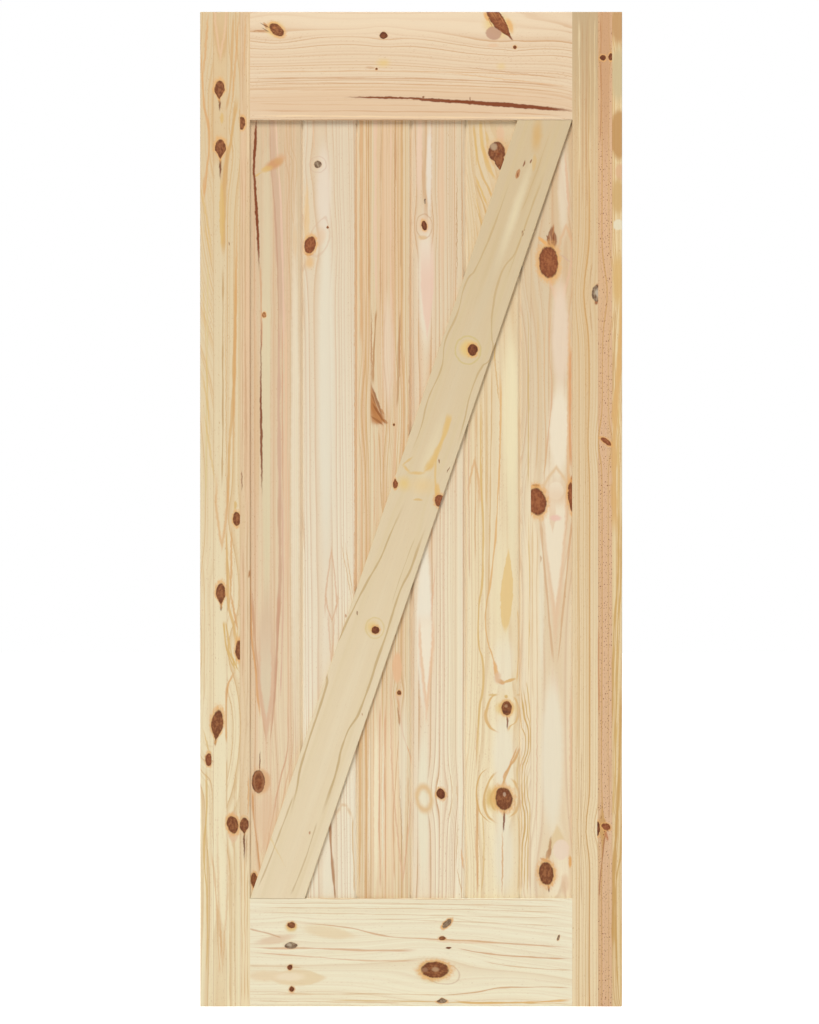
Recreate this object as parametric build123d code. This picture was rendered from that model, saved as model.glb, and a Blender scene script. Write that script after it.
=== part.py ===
from build123d import *
import math
import os

# Sliding barn door: a solid pine slab with two stiles, two rails, a panel of six tongue-and-groove
# planks with V joints, and one diagonal brace laid on the planks, flush with the frame.
# Millimetres. +X is to the right seen from the front, the front looks along -Y, +Z is up.
# The origin is under the middle of the slab, on its bottom edge and half way through its thickness.

# Slab
SLAB_WIDTH = 905.0
SLAB_HEIGHT = 2133.6
SLAB_THICKNESS = 35.0

# Frame
STILE_WIDTH = 107.0
RAIL_HEIGHT = 232.0
EASED_EDGE = 1.5

# Panel groove, run in the inner edge of both stiles and both rails
GROOVE_DEPTH = 12.0
GROOVE_CLEARANCE = 0.15
END_CLEARANCE = 1.0

# Planks
PLANK_COUNT = 6
PLANK_THICKNESS = 16.0
PLANK_PITCH = 116.7
PLANK_GAP = 0.4
V_CHAMFER = 4.8
TONGUE_THICKNESS = 5.0
TONGUE_LENGTH = 8.0
TONGUE_CHAMFER = 0.6
TONGUE_CLEARANCE = 0.1
TONGUE_END_CLEARANCE = 0.5

# Brace
BRACE_WIDTH = 111.0
BRACE_CLEARANCE = 0.2

# Stub tenons on the rails, which fill the stiles' groove beside each rail
TENON_CLEARANCE = 0.1
TENON_END_CLEARANCE = 0.3

# Fluted hardwood dowels, three across each corner of the frame
DOWELS_PER_CORNER = 3
DOWEL_DIAMETER = 12.7
DOWEL_IN_STILE = 48.0
DOWEL_IN_RAIL = 60.0
DOWEL_EDGE_DISTANCE = 45.0
DOWEL_PITCH = 70.0
DOWEL_CHAMFER = 1.0
DOWEL_HOLE_CLEARANCE = 0.05
DOWEL_END_CLEARANCE = 1.0
FLUTE_COUNT = 16
FLUTE_RADIUS = 0.5

# Brads that hold the brace, driven from the back through the planks
BRAD_DIAMETER = 1.2
BRAD_LENGTH = 22.0
BRAD_POINT = 1.5
BRAD_TIP_DIAMETER = 0.2
BRAD_HEAD_DIAMETER = 2.0
BRAD_HEAD_THICKNESS = 0.6
BRAD_SET = 0.8
BRAD_HOLE_CLEARANCE = 0.02
BRAD_SHARES = (0.25, 0.75)

# Derived places
HALF_WIDTH = SLAB_WIDTH / 2
HALF_THICKNESS = SLAB_THICKNESS / 2
HALF_OPENING = HALF_WIDTH - STILE_WIDTH
OPENING_BOTTOM = RAIL_HEIGHT
OPENING_TOP = SLAB_HEIGHT - RAIL_HEIGHT
OPENING_HEIGHT = OPENING_TOP - OPENING_BOTTOM
HALF_PLANK = PLANK_THICKNESS / 2
GROOVE_WIDTH = PLANK_THICKNESS + 2 * GROOVE_CLEARANCE
PANEL_REACH = GROOVE_DEPTH - END_CLEARANCE
BRACE_THICKNESS = HALF_THICKNESS - HALF_PLANK
SIDES = {"left": -1, "right": 1}
ENDS = {"bottom": -1, "top": 1}


def block(low, high):
    """A box between two corners."""
    size = [b - a for a, b in zip(low, high)]
    return Pos(*low) * Box(*size, align=(Align.MIN, Align.MIN, Align.MIN))


def rod(radius, length):
    """A round rod along +X from the origin."""
    return Rot(0, 90, 0) * Cylinder(radius, length, align=(Align.CENTER, Align.CENTER, Align.MIN))


def dowel_heights(end):
    """Heights of the dowels in the rail at that end, from the slab's outer edge inwards."""
    outer_edge = 0.0 if end < 0 else SLAB_HEIGHT
    steps = [DOWEL_EDGE_DISTANCE + i * DOWEL_PITCH for i in range(DOWELS_PER_CORNER)]
    return [outer_edge - end * step for step in steps]


def dowel_span():
    """Where a dowel starts in the rail and stops in the stile, as distances from the slab's centre."""
    return HALF_OPENING - DOWEL_IN_RAIL, HALF_OPENING + GROOVE_DEPTH + DOWEL_IN_STILE


def dowel_holes(side):
    """The holes of one stile and of both rails on that side, each a little longer than its dowel."""
    inner, outer = dowel_span()
    start, stop = inner - DOWEL_END_CLEARANCE, outer + DOWEL_END_CLEARANCE
    hole = rod(DOWEL_DIAMETER / 2 + DOWEL_HOLE_CLEARANCE, stop - start)
    turn = Rot(0, 0, 0) if side > 0 else Rot(0, 0, 180)
    heights = [z for end in ENDS.values() for z in dowel_heights(end)]
    return [Pos(side * start, 0, z) * turn * hole for z in heights]


def stile(side):
    """A full-height upright: outer arrises eased all round, grooved inside, bored for the dowels."""
    inner, outer = side * HALF_OPENING, side * HALF_WIDTH
    body = block((min(inner, outer), -HALF_THICKNESS, 0), (max(inner, outer), HALF_THICKNESS, SLAB_HEIGHT))
    free = [e for e in body.edges() if abs(e.center().X - inner) > EASED_EDGE]
    body = fillet(free, EASED_EDGE)
    depth = side * GROOVE_DEPTH
    groove = block(
        (min(inner, inner + depth), -GROOVE_WIDTH / 2, 0),
        (max(inner, inner + depth), GROOVE_WIDTH / 2, SLAB_HEIGHT),
    )
    body -= groove
    for face in (-1, 1):
        body -= inner_bevel(inner, side, face)
    for hole in dowel_holes(side):
        body -= hole
    return body


def inner_bevel(inner, side, face):
    """The wedge that eases a stile's inner arris between the rails only."""
    corner = face * HALF_THICKNESS
    outline = Polyline(
        (inner, corner - face * EASED_EDGE),
        (inner + side * EASED_EDGE, corner),
        (inner, corner),
        close=True,
    )
    return Pos(0, 0, OPENING_BOTTOM) * extrude(make_face(outline), OPENING_HEIGHT, dir=(0, 0, 1))


def rail(end):
    """A cross member between the stiles, with a stub tenon at each end and the panel's groove."""
    outer = 0.0 if end < 0 else SLAB_HEIGHT
    inner = OPENING_BOTTOM if end < 0 else OPENING_TOP
    low, high = min(inner, outer), max(inner, outer)
    body = block((-HALF_OPENING, -HALF_THICKNESS, low), (HALF_OPENING, HALF_THICKNESS, high))
    body = fillet(body.edges().filter_by(Axis.X), EASED_EDGE)
    groove_floor = inner + end * GROOVE_DEPTH
    tenon_reach = HALF_OPENING + GROOVE_DEPTH - TENON_END_CLEARANCE
    tenon_half = GROOVE_WIDTH / 2 - TENON_CLEARANCE
    tenons = block(
        (-tenon_reach, -tenon_half, min(outer, groove_floor)),
        (tenon_reach, tenon_half, max(outer, groove_floor)),
    )
    groove = block(
        (-HALF_OPENING, -GROOVE_WIDTH / 2, min(inner, groove_floor)),
        (HALF_OPENING, GROOVE_WIDTH / 2, max(inner, groove_floor)),
    )
    body = body + tenons - groove
    for side in SIDES.values():
        for hole in dowel_holes(side):
            body -= hole
    return body


def v_joint_places():
    """X of each V joint between two planks, from left to right."""
    first = -PLANK_PITCH * (PLANK_COUNT - 2) / 2
    return [first + i * PLANK_PITCH for i in range(PLANK_COUNT - 1)]


def groove_side(shoulder):
    """Section points down a plank's left side, front to back, where it takes its neighbour's tongue."""
    half = TONGUE_THICKNESS / 2 + TONGUE_CLEARANCE
    land = HALF_PLANK - V_CHAMFER
    floor = shoulder + TONGUE_LENGTH + TONGUE_END_CLEARANCE - PLANK_GAP
    return [
        (shoulder + V_CHAMFER, -HALF_PLANK),
        (shoulder, -land),
        (shoulder, -half),
        (floor, -half),
        (floor, half),
        (shoulder, half),
        (shoulder, land),
        (shoulder + V_CHAMFER, HALF_PLANK),
    ]


def tongue_side(shoulder):
    """Section points up a plank's right side, back to front, round its tongue."""
    half = TONGUE_THICKNESS / 2
    land = HALF_PLANK - V_CHAMFER
    tip = shoulder + TONGUE_LENGTH
    return [
        (shoulder - V_CHAMFER, HALF_PLANK),
        (shoulder, land),
        (shoulder, half),
        (tip - TONGUE_CHAMFER, half),
        (tip, half - TONGUE_CHAMFER),
        (tip, TONGUE_CHAMFER - half),
        (tip - TONGUE_CHAMFER, -half),
        (shoulder, -half),
        (shoulder, -land),
        (shoulder - V_CHAMFER, -HALF_PLANK),
    ]


def plank(index):
    """One plank of the panel. The outermost two have a square edge in the stile's groove."""
    joints = v_joint_places()
    edge = HALF_OPENING + PANEL_REACH
    if index == 0:
        left = [(-edge, -HALF_PLANK), (-edge, HALF_PLANK)]
    else:
        left = groove_side(joints[index - 1] + PLANK_GAP / 2)
    if index == PLANK_COUNT - 1:
        right = [(edge, HALF_PLANK), (edge, -HALF_PLANK)]
    else:
        right = tongue_side(joints[index] - PLANK_GAP / 2)
    section = make_face(Polyline(*left, *right, close=True))
    length = OPENING_HEIGHT + 2 * PANEL_REACH
    return Pos(0, 0, OPENING_BOTTOM - PANEL_REACH) * extrude(section, length, dir=(0, 0, 1))


def brace_cut():
    """The brace's width measured level, along the rail, for a board that is BRACE_WIDTH wide."""
    opening, height, width = 2 * HALF_OPENING, OPENING_HEIGHT, BRACE_WIDTH
    a = height**2 - width**2
    b = 2 * width**2 * opening
    c = -(width**2) * (height**2 + opening**2)
    return (-b + math.sqrt(b * b - 4 * a * c)) / (2 * a)


def brace():
    """The diagonal board, from the bottom left corner of the opening to the top right one."""
    edge = HALF_OPENING - BRACE_CLEARANCE
    bottom, top = OPENING_BOTTOM + BRACE_CLEARANCE, OPENING_TOP - BRACE_CLEARANCE
    level = brace_cut() - 2 * BRACE_CLEARANCE
    outline = Polyline((-edge, bottom), (level - edge, bottom), (edge, top), (edge - level, top), close=True)
    face = make_face(Plane.XZ * outline)
    body = Pos(0, -HALF_PLANK, 0) * extrude(face, BRACE_THICKNESS, dir=(0, -1, 0))
    front_face = body.faces().sort_by(Axis.Y)[0]
    long_edges = front_face.edges().sort_by(SortBy.LENGTH)[-2:]
    body = fillet(long_edges, EASED_EDGE)
    for place in brad_places():
        body -= Pos(*place) * brad_hole()
    return body


def brace_line(x):
    """Height of the brace's centre line at that x."""
    foot = brace_cut() / 2 - HALF_OPENING
    return OPENING_BOTTOM + (x - foot) * OPENING_HEIGHT / (-2 * foot)


def brad_places():
    """The brads of each plank, at BRAD_SHARES along its stretch of the brace, from left to right."""
    foot = brace_cut() / 2 - HALF_OPENING
    bounds = [foot, *v_joint_places(), -foot]
    places = []
    for left, right in zip(bounds, bounds[1:]):
        for share in BRAD_SHARES:
            x = left + share * (right - left)
            places.append((x, HALF_PLANK - BRAD_SET, brace_line(x)))
    return places


def brad():
    """A brad from its head's outer face, pointing towards the front."""
    shank = BRAD_LENGTH - BRAD_POINT
    forward = Rot(90, 0, 0)
    at_base = (Align.CENTER, Align.CENTER, Align.MIN)
    head = Cylinder(BRAD_HEAD_DIAMETER / 2, BRAD_HEAD_THICKNESS, align=at_base)
    body = Cylinder(BRAD_DIAMETER / 2, shank, align=at_base)
    point = Pos(0, 0, shank) * Cone(BRAD_DIAMETER / 2, BRAD_TIP_DIAMETER / 2, BRAD_POINT, align=at_base)
    return forward * (head + body + point)


def brad_hole():
    """The space of a brad, with its head's countersink open to the back of the plank."""
    clear = BRAD_HOLE_CLEARANCE
    at_base = (Align.CENTER, Align.CENTER, Align.MIN)
    drill = Cylinder(BRAD_DIAMETER / 2 + clear, BRAD_LENGTH + clear, align=at_base)
    sink_depth = BRAD_SET + BRAD_HEAD_THICKNESS + clear
    sink = Pos(0, 0, -BRAD_SET) * Cylinder(BRAD_HEAD_DIAMETER / 2 + clear, sink_depth, align=at_base)
    return Rot(90, 0, 0) * (drill + sink)


def dowel():
    """A fluted dowel along +X from the origin, chamfered at both ends."""
    inner, outer = dowel_span()
    radius, length = DOWEL_DIAMETER / 2, outer - inner
    body = chamfer(Cylinder(radius, length).edges().filter_by(GeomType.CIRCLE), DOWEL_CHAMFER)
    for i in range(FLUTE_COUNT):
        turn = 360 * i / FLUTE_COUNT
        body -= Rot(0, 0, turn) * Pos(radius, 0, 0) * Cylinder(FLUTE_RADIUS, length)
    return Pos(length / 2, 0, 0) * Rot(0, 90, 0) * body


def all_parts():
    """Every piece of the door in its place, by name."""
    parts = {f"{name}_stile": stile(side) for name, side in SIDES.items()}
    parts |= {f"{name}_rail": rail(end) for name, end in ENDS.items()}
    for i in range(PLANK_COUNT):
        body = plank(i)
        first_brad = i * len(BRAD_SHARES)
        for place in brad_places()[first_brad : first_brad + len(BRAD_SHARES)]:
            body -= Pos(*place) * brad_hole()
        parts[f"plank_{i + 1}"] = body
    parts["diagonal_brace"] = brace()
    one_dowel = dowel()
    start = dowel_span()[0]
    for end_name, end in ENDS.items():
        for side_name, side in SIDES.items():
            turn = Rot(0, 0, 0) if side > 0 else Rot(0, 0, 180)
            for n, z in enumerate(dowel_heights(end), 1):
                parts[f"dowel_{end_name}_{side_name}_{n}"] = Pos(side * start, 0, z) * turn * one_dowel
    parts["brace_brads"] = Compound(children=[Pos(*place) * brad() for place in brad_places()])
    return parts


os.makedirs("parts", exist_ok=True)
for name, shape in all_parts().items():
    export_step(shape, f"parts/{name}.step")
    print(name, round(shape.volume / 1000, 1), "cm3")
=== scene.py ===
# %% [markdown]
# # A sliding barn door in knotty pine
#
# The door is a slab of bare, planed pine: two uprights (stiles), two cross members (rails), six
# tongue-and-groove planks between them, and a diagonal brace laid over the planks. The joinery was drawn
# in a CAD model that arrives here as a fixed frame. This lesson gives every board its own wood: growth
# rings, knots, resin and stripes, all worked out by formulas, so that no picture is needed.
#
# The frame is loaded first, because every place below is read from it. Lengths in the frame are metres,
# with X to the right, Y away from the viewer and Z up.

# %% Load the frame
import math

import bpy
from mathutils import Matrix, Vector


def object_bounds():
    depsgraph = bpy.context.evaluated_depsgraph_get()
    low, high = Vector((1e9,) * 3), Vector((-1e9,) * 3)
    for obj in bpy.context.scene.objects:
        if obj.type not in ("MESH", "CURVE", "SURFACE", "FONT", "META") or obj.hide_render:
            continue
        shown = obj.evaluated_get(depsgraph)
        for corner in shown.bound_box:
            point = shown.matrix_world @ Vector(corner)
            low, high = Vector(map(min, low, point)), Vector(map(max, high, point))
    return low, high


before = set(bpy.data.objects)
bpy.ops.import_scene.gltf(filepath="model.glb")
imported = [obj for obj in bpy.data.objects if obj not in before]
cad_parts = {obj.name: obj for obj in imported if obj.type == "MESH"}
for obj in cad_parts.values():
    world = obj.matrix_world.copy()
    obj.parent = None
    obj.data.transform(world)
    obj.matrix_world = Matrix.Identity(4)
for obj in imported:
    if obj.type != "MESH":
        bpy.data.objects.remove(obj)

cad_low, cad_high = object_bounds()
door_width, door_thickness, door_height = cad_high - cad_low
print(f"door {door_width:.3f} m wide, {door_height:.3f} m high, {door_thickness:.3f} m thick")

# %% [markdown]
# ## The camera
#
# A door is easiest to judge square on, like an elevation on a drawing. A wide lens close by would make the
# rails look bowed and the middle look larger than the ends. A long lens from far away keeps every edge
# parallel, so the camera stands twelve metres off at half the door's height. Its aim is a few millimetres
# off the door's centre, so the margins round the door are slightly uneven.

# %% Camera square to the front, through a long lens
CAMERA_DISTANCE = 12.0
VIEW_HEIGHT = 2.1961
AIM_RIGHT = -0.0035
AIM_UP = -0.0059
SENSOR = 24.0

scene = bpy.context.scene
camera_data = bpy.data.cameras.new("door_camera")
camera = bpy.data.objects.new("door_camera", camera_data)
scene.collection.objects.link(camera)
camera_data.sensor_width = SENSOR
camera_data.lens = SENSOR * CAMERA_DISTANCE / VIEW_HEIGHT
camera.location = (AIM_RIGHT, cad_low.y - CAMERA_DISTANCE, door_height / 2 + AIM_UP)
camera.rotation_euler = (math.radians(90), 0, 0)
camera_data.clip_end = 200
scene.camera = camera
print(f"camera lens {camera_data.lens:.0f} mm on a {SENSOR:.0f} mm sensor")

# %% [markdown]
# ## Light and floor
#
# Pale wood shows its figure best in even light, with just enough direction to draw the joints. The sky
# here is a weak white that fills everything. For the camera alone it is pure white, so the backdrop
# doesn't depend on how strong the fill is. The picture is shown with the plain "Standard" transform,
# because a filmic one would grey the creams of the wood.

# %% Soft sky
SKY_FILL = 0.31

scene.view_settings.view_transform = "Standard"
world = bpy.data.worlds.new("studio_sky")
scene.world = world
world.use_nodes = True
sky = world.node_tree
backdrop = sky.nodes["Background"]
backdrop.inputs["Color"].default_value = (1, 1, 1, 1)
fill = sky.nodes.new("ShaderNodeBackground")
fill.inputs["Strength"].default_value = SKY_FILL
seen_directly = sky.nodes.new("ShaderNodeLightPath")
either = sky.nodes.new("ShaderNodeMixShader")
sky.links.new(seen_directly.outputs["Is Camera Ray"], either.inputs[0])
sky.links.new(fill.outputs[0], either.inputs[1])
sky.links.new(backdrop.outputs[0], either.inputs[2])
sky.links.new(either.outputs[0], sky.nodes["World Output"].inputs["Surface"])
print("sky fill", SKY_FILL)

# %% [markdown]
# ## Two broad lamps
#
# One large soft lamp stands far off and high in front, 53 degrees up. The planks lie 9.5 mm behind the
# frame, so it throws a soft shadow of about 12 mm under the top rail and a hairline beside the slanting
# brace. It could stand nearer, but then the top of the door would be brighter than its foot. A weaker
# lamp mirrors it behind the door, so that the back isn't left to the sky alone.

# %% Lamps in front and behind
LAMP_POWER = 1190.0
BACK_LAMP_POWER = 500.0
LAMP_SIZE = (3.5, 5.5)
LAMP_DISTANCE = 12.0
LAMP_RISE = math.radians(53)
LAMP_SIDE = -1.2


def hang_lamp(name, power, forward, side):
    """One big soft lamp, aimed at the middle of the door. Forward is towards the viewer."""
    data = bpy.data.lights.new(name, "AREA")
    data.shape = "RECTANGLE"
    data.size, data.size_y = LAMP_SIZE
    data.energy = power
    lamp = bpy.data.objects.new(name, data)
    scene.collection.objects.link(lamp)
    up = LAMP_DISTANCE * math.sin(LAMP_RISE)
    lamp.location = (side, -forward * LAMP_DISTANCE * math.cos(LAMP_RISE), door_height / 2 + up)
    aim = Vector((0, 0, door_height / 2)) - lamp.location
    lamp.rotation_euler = aim.to_track_quat("-Z", "Y").to_euler()
    print(f"{name} {up:.1f} m above the middle of the door")


hang_lamp("front_lamp", LAMP_POWER, 1, LAMP_SIDE)
hang_lamp("back_lamp", BACK_LAMP_POWER, -1, -LAMP_SIDE)

# %% [markdown]
# ## Floor
#
# The floor is white paper under the door. Lit paper never comes out exactly as white as the backdrop, and
# a line would show where they meet. For the camera alone the floor glows a little, which hides that line
# and adds no light to the wood.

# %% White floor
FLOOR_SIZE = 60.0
FLOOR_GLOW = 0.9

bpy.ops.mesh.primitive_plane_add(size=FLOOR_SIZE, location=(0, 0, cad_low.z))
floor = bpy.context.object
floor.name = "studio_floor"
floor_white = bpy.data.materials.new("floor_white")
floor_white.use_nodes = True
floor_tree = floor_white.node_tree
floor_shader = floor_tree.nodes["Principled BSDF"]
floor_shader.inputs["Base Color"].default_value = (0.9, 0.9, 0.9, 1)
floor_shader.inputs["Roughness"].default_value = 0.9
floor_shader.inputs["Emission Color"].default_value = (1, 1, 1, 1)
floor_seen = floor_tree.nodes.new("ShaderNodeLightPath")
floor_glow = floor_tree.nodes.new("ShaderNodeMath")
floor_glow.operation = "MULTIPLY"
floor_glow.inputs[1].default_value = FLOOR_GLOW
floor_tree.links.new(floor_seen.outputs["Is Camera Ray"], floor_glow.inputs[0])
floor_tree.links.new(floor_glow.outputs[0], floor_shader.inputs["Emission Strength"])
floor.data.materials.append(floor_white)
print(f"{floor.name} is {FLOOR_SIZE:.0f} m square")

# %% [markdown]
# ## Writing wood as sums
#
# Blender builds a material from small boxes joined by wires. Dozens of boxes placed by hand are hard to
# read, so this cell makes a `Field`: a number, or a place, that the material works out at every point of
# the wood. Fields can be added and multiplied like ordinary numbers, and each sum adds one box.

# %% Fields: numbers and places worked out at every point
class Field:
    """A value that changes over the wood. It holds the outlet of a node."""

    def __init__(self, outlet):
        self.outlet = outlet

    def node(self, kind, *values, take=0, **settings):
        return make_node(self.outlet.id_data, kind, values, take, settings)

    def sum(self, operation, *values):
        return self.node("ShaderNodeMath", *values, operation=operation)

    def __add__(self, other):
        return self.sum("ADD", self, other)

    def __sub__(self, other):
        return self.sum("SUBTRACT", self, other)

    def __rsub__(self, other):
        return self.sum("SUBTRACT", other, self)

    def __mul__(self, other):
        return self.sum("MULTIPLY", self, other)

    def __truediv__(self, other):
        return self.sum("DIVIDE", self, other)

    def __pow__(self, other):
        return self.sum("POWER", self, other)

    def above(self, limit):
        return self.sum("GREATER_THAN", self, limit)

    def fade(self, start, stop, low=0.0, high=1.0):
        """Goes smoothly from low to high while this field goes from start to stop."""
        values = (self, start, stop, low, high)
        return self.node("ShaderNodeMapRange", *values, interpolation_type="SMOOTHSTEP")

    __radd__ = __add__
    __rmul__ = __mul__


def make_node(tree, kind, values=(), take=0, settings=None):
    """Adds a node, wires or types in its inlets in order, and gives its outlet number `take`."""
    node = tree.nodes.new(kind)
    for name, setting in (settings or {}).items():
        setattr(node, name, setting)
    for inlet, value in zip(node.inputs, values):
        if isinstance(value, Field):
            tree.links.new(value.outlet, inlet)
        elif value is not None:
            inlet.default_value = value
    return Field(node.outputs[take])


print("a Field can", [name for name in vars(Field) if not name.startswith("_")])


# %% [markdown]
# ## Places on a board
#
# All the wood is described in millimetres, as a joiner would mark it out: so far right of the door's
# centre line, and so far up from the floor. The growth rings need a second set of directions that follows
# the grain, which is upright in the stiles and planks, level in the rails and slanted in the brace. The
# outlines of knots are never true ellipses, so the places used for them are first shaken a little by a
# noise pattern.

# %% Places in millimetres, seen on the face and along the grain
MILLIMETRES = 1000.0
THROUGH = 1e6
LEVEL = -90.0
OUTLINE_SHAKE = 5.5
SHAKE_SCALE = 0.09
LINE_SHAKE = 5.0
SWAY = 7.0
SWAY_LENGTH = 260.0


class Wood:
    """The places that one board's material works with."""

    def __init__(self, tree, grain_turn, seed):
        place = make_node(tree, "ShaderNodeTexCoord", take=3)
        scale = (MILLIMETRES,) * 3
        self.place = place.node("ShaderNodeMapping", place, (0, 0, 0), (0, 0, 0), scale)
        turn = (0, math.radians(grain_turn), 0)
        turned = place.node("ShaderNodeMapping", self.place, (0, 0, 0), turn, (1, 1, 1))
        self.across = turned.node("ShaderNodeSeparateXYZ", turned, take=0)
        self.depth = Field(self.across.outlet.node.outputs[1])
        self.along = Field(self.across.outlet.node.outputs[2])
        self.seed = seed
        self.turn = math.radians(grain_turn)
        self.unsteady = self.across + (self.noise(14, 70, detail=3, layer=21) - 0.5) * LINE_SHAKE
        self.pressure = self.noise(20, 60, detail=2, layer=22).fade(0.3, 0.7, 0.55, 1.4)
        self.face = self.shaken_face()
        self.swaying = self.swaying_face()

    def noise(self, across, along, detail=2.0, layer=0.0, roughness=0.5, take=0):
        """Noise with the given grain size in millimetres across and along the grain."""
        stretched = self.across.node(
            "ShaderNodeCombineXYZ", self.across / across, self.depth / across, self.along / along
        )
        values = (stretched, self.seed + layer, 1.0, detail, roughness)
        return stretched.node("ShaderNodeTexNoise", *values, take=take, noise_dimensions="4D")

    def shaken_face(self):
        """Places on the face, shaken so that outlines drawn on it come out uneven."""
        values = (self.place, self.seed, SHAKE_SCALE, 2.0, 0.6)
        shake = self.place.node("ShaderNodeTexNoise", *values, take=1, noise_dimensions="4D")
        centred = shake.node("ShaderNodeVectorMath", shake, (0.5, 0.5, 0.5), operation="SUBTRACT")
        moved = shake.node("ShaderNodeVectorMath", centred, operation="SCALE")
        moved.outlet.node.inputs["Scale"].default_value = OUTLINE_SHAKE
        return shake.node("ShaderNodeVectorMath", self.place, moved, operation="ADD")

    def swaying_face(self):
        """Places on the face that also sway from side to side, as the grain does."""
        sway = (self.noise(60, SWAY_LENGTH, detail=1, layer=13) - 0.5) * SWAY
        side, rise = sway * math.cos(self.turn), sway * math.sin(self.turn)
        aside = sway.node("ShaderNodeCombineXYZ", side, 0.0, rise)
        return aside.node("ShaderNodeVectorMath", self.face, aside, operation="ADD")

    def inside(self, right, up, wide, tall, turn, swaying=False):
        """Places measured from a spot's middle, where its edges are at 1 and -1."""
        middle, lean = (right, 0, up), (0, math.radians(turn), 0)
        radii = (wide / 2, THROUGH, tall / 2)
        values = (self.swaying if swaying else self.face, middle, lean, radii)
        return self.face.node("ShaderNodeMapping", *values, vector_type="TEXTURE")

    def spot(self, right, up, wide, tall, turn=0.0, point=0.0, swaying=False):
        """Distance from a spot on the face: 0 at its middle and 1 at its edge, whatever its size.

        The lower end is drawn to a point if `point` is above 0, and the upper end if it is below 0.
        """
        inside = self.inside(right, up, wide, tall, turn, swaying)
        if not point:
            return inside.node("ShaderNodeVectorMath", inside, take=1, operation="LENGTH")
        sideways = inside.node("ShaderNodeSeparateXYZ", inside)
        upwards = Field(sideways.outlet.node.outputs[2])
        down = upwards.sum("MAXIMUM", upwards * math.copysign(1, -point), 0.0)
        pinched = sideways * (down * down * abs(point) + 1.0)
        return (pinched * pinched + upwards * upwards) ** 0.5


print(f"outlines are shaken by up to {OUTLINE_SHAKE / 2:.1f} mm, and long marks sway by {SWAY / 2:.1f} mm")


# %% [markdown]
# ## Growth rings
#
# A board is a slice of a trunk, so the lines on its face are where the trunk's rings cross it. Each point
# gets its distance from the trunk's heart, and a ring is one step of that distance. The heart isn't
# straight: it wanders to and fro and nearer to and further from the face, and that alone draws the nested
# V and U figures of a plain-sawn board. A heart far off to one side draws straight lines.
#
# Within one ring the wood starts pale in spring and darkens until autumn, where it stops with a sharp
# edge. No two years are alike, so every ring gets its own strength.

# %% A smooth path along the board
def path(place, stops):
    """A value that passes smoothly through the given stops as the place moves along the board."""
    places, values = zip(*stops)
    start, stop, low, high = min(places), max(places), min(values), max(values)
    if low == high:
        return low
    share = place.node("ShaderNodeMapRange", place, start, stop, 0.0, 1.0)
    curve = share.node("ShaderNodeFloatCurve", None, share)
    mapping = curve.outlet.node.mapping
    points = mapping.curves[0].points
    while len(points) < len(stops):
        points.new(0.5, 0.5)
    for point, (one_place, value) in zip(points, sorted(stops)):
        point.location = ((one_place - start) / (stop - start), (value - low) / (high - low))
    mapping.update()
    return curve * (high - low) + low


print("paths are smooth curves through (along, value) stops")

# %% Distance from a wandering heart
RING_WAVE = 2.4


def by_stave(wood, glue_lines, values):
    """Picks each stave's own value in a board that is glued up from several."""
    value, *others = values
    before = value
    for joint, after in zip(glue_lines, others):
        value = wood.across.above(joint) * (after - before) + value
        before = after
    return value


def heart_distance(wood, across, board):
    """How far each point is from the heart of its trunk, in millimetres."""
    hearts = [path(wood.along, [stop[:2] for stop in heart]) for heart in board["hearts"]]
    depths = [path(wood.along, [stop[::2] for stop in heart]) for heart in board["hearts"]]
    side = across - by_stave(wood, board["glue_lines"], hearts)
    back = wood.depth - by_stave(wood, board["glue_lines"], depths)
    wave = (wood.noise(26, 330, detail=2, layer=5) - 0.5) * RING_WAVE * 2
    return (side * side + back * back) ** 0.5 + wave


print(f"rings wave by up to {RING_WAVE:.1f} mm to either side")

# %% Pale spring wood and dark late wood
LATE_WOOD = ((0.0, 0.25), (0.06, 0.0), (0.35, 0.05), (0.66, 0.35), (0.86, 1.0), (0.95, 0.95), (1.0, 0.25))
YEARS_ALIKE = 4.0
YEAR_VARIETY = 2.6
WEAKEST_YEAR = 0.15


def by_distance(distance, step, seed):
    """Noise that changes from ring to ring and stays the same along each one."""
    place = distance / step + seed
    return place.node("ShaderNodeTexNoise", None, place, 1.0, 2.0, 0.6, noise_dimensions="1D")


def late_wood(distance, board):
    """How much of the dark late wood each point has, from 0 to 1."""
    ring = board["ring"]
    uneven = (by_distance(distance, ring * YEARS_ALIKE, board["seed"]) - 0.5) * YEAR_VARIETY
    years = distance / ring + uneven
    part = years.sum("FRACT", years)
    year = years.sum("FLOOR", years)
    chance = years.node("ShaderNodeTexWhiteNoise", None, year, noise_dimensions="1D")
    strength = chance.fade(0, 1, WEAKEST_YEAR, 1.0)
    ramp = part.node("ShaderNodeValToRGB", part)
    shades = ramp.outlet.node.color_ramp.elements
    while len(shades) < len(LATE_WOOD):
        shades.new(0.5)
    for shade, (place, darkness) in zip(shades, LATE_WOOD):
        shade.position = place
        shade.color = (darkness, darkness, darkness, 1)
    return ramp * strength


print(f"a ring is pale for {LATE_WOOD[2][0]:.0%} of its width and darkest at {LATE_WOOD[4][0]:.0%}")


# %% [markdown]
# ## Colours
#
# Pine runs from cream sapwood through pinkish heartwood to orange late wood, with brown knots and
# streaks. The colours are given as on a paint chart, since that is how a finisher would match them, and
# turned into the linear values that Blender's light works with. `mixed` lays one over another, as a
# glaze would.

# %% Colours of the wood
def shade(red, green, blue):
    """A colour given as on a paint chart, 0 to 255, in the linear values that Blender works with."""
    levels = [c / 255 for c in (red, green, blue)]
    return (*[((c + 0.055) / 1.055) ** 2.4 if c > 0.04045 else c / 12.92 for c in levels], 1)


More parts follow.
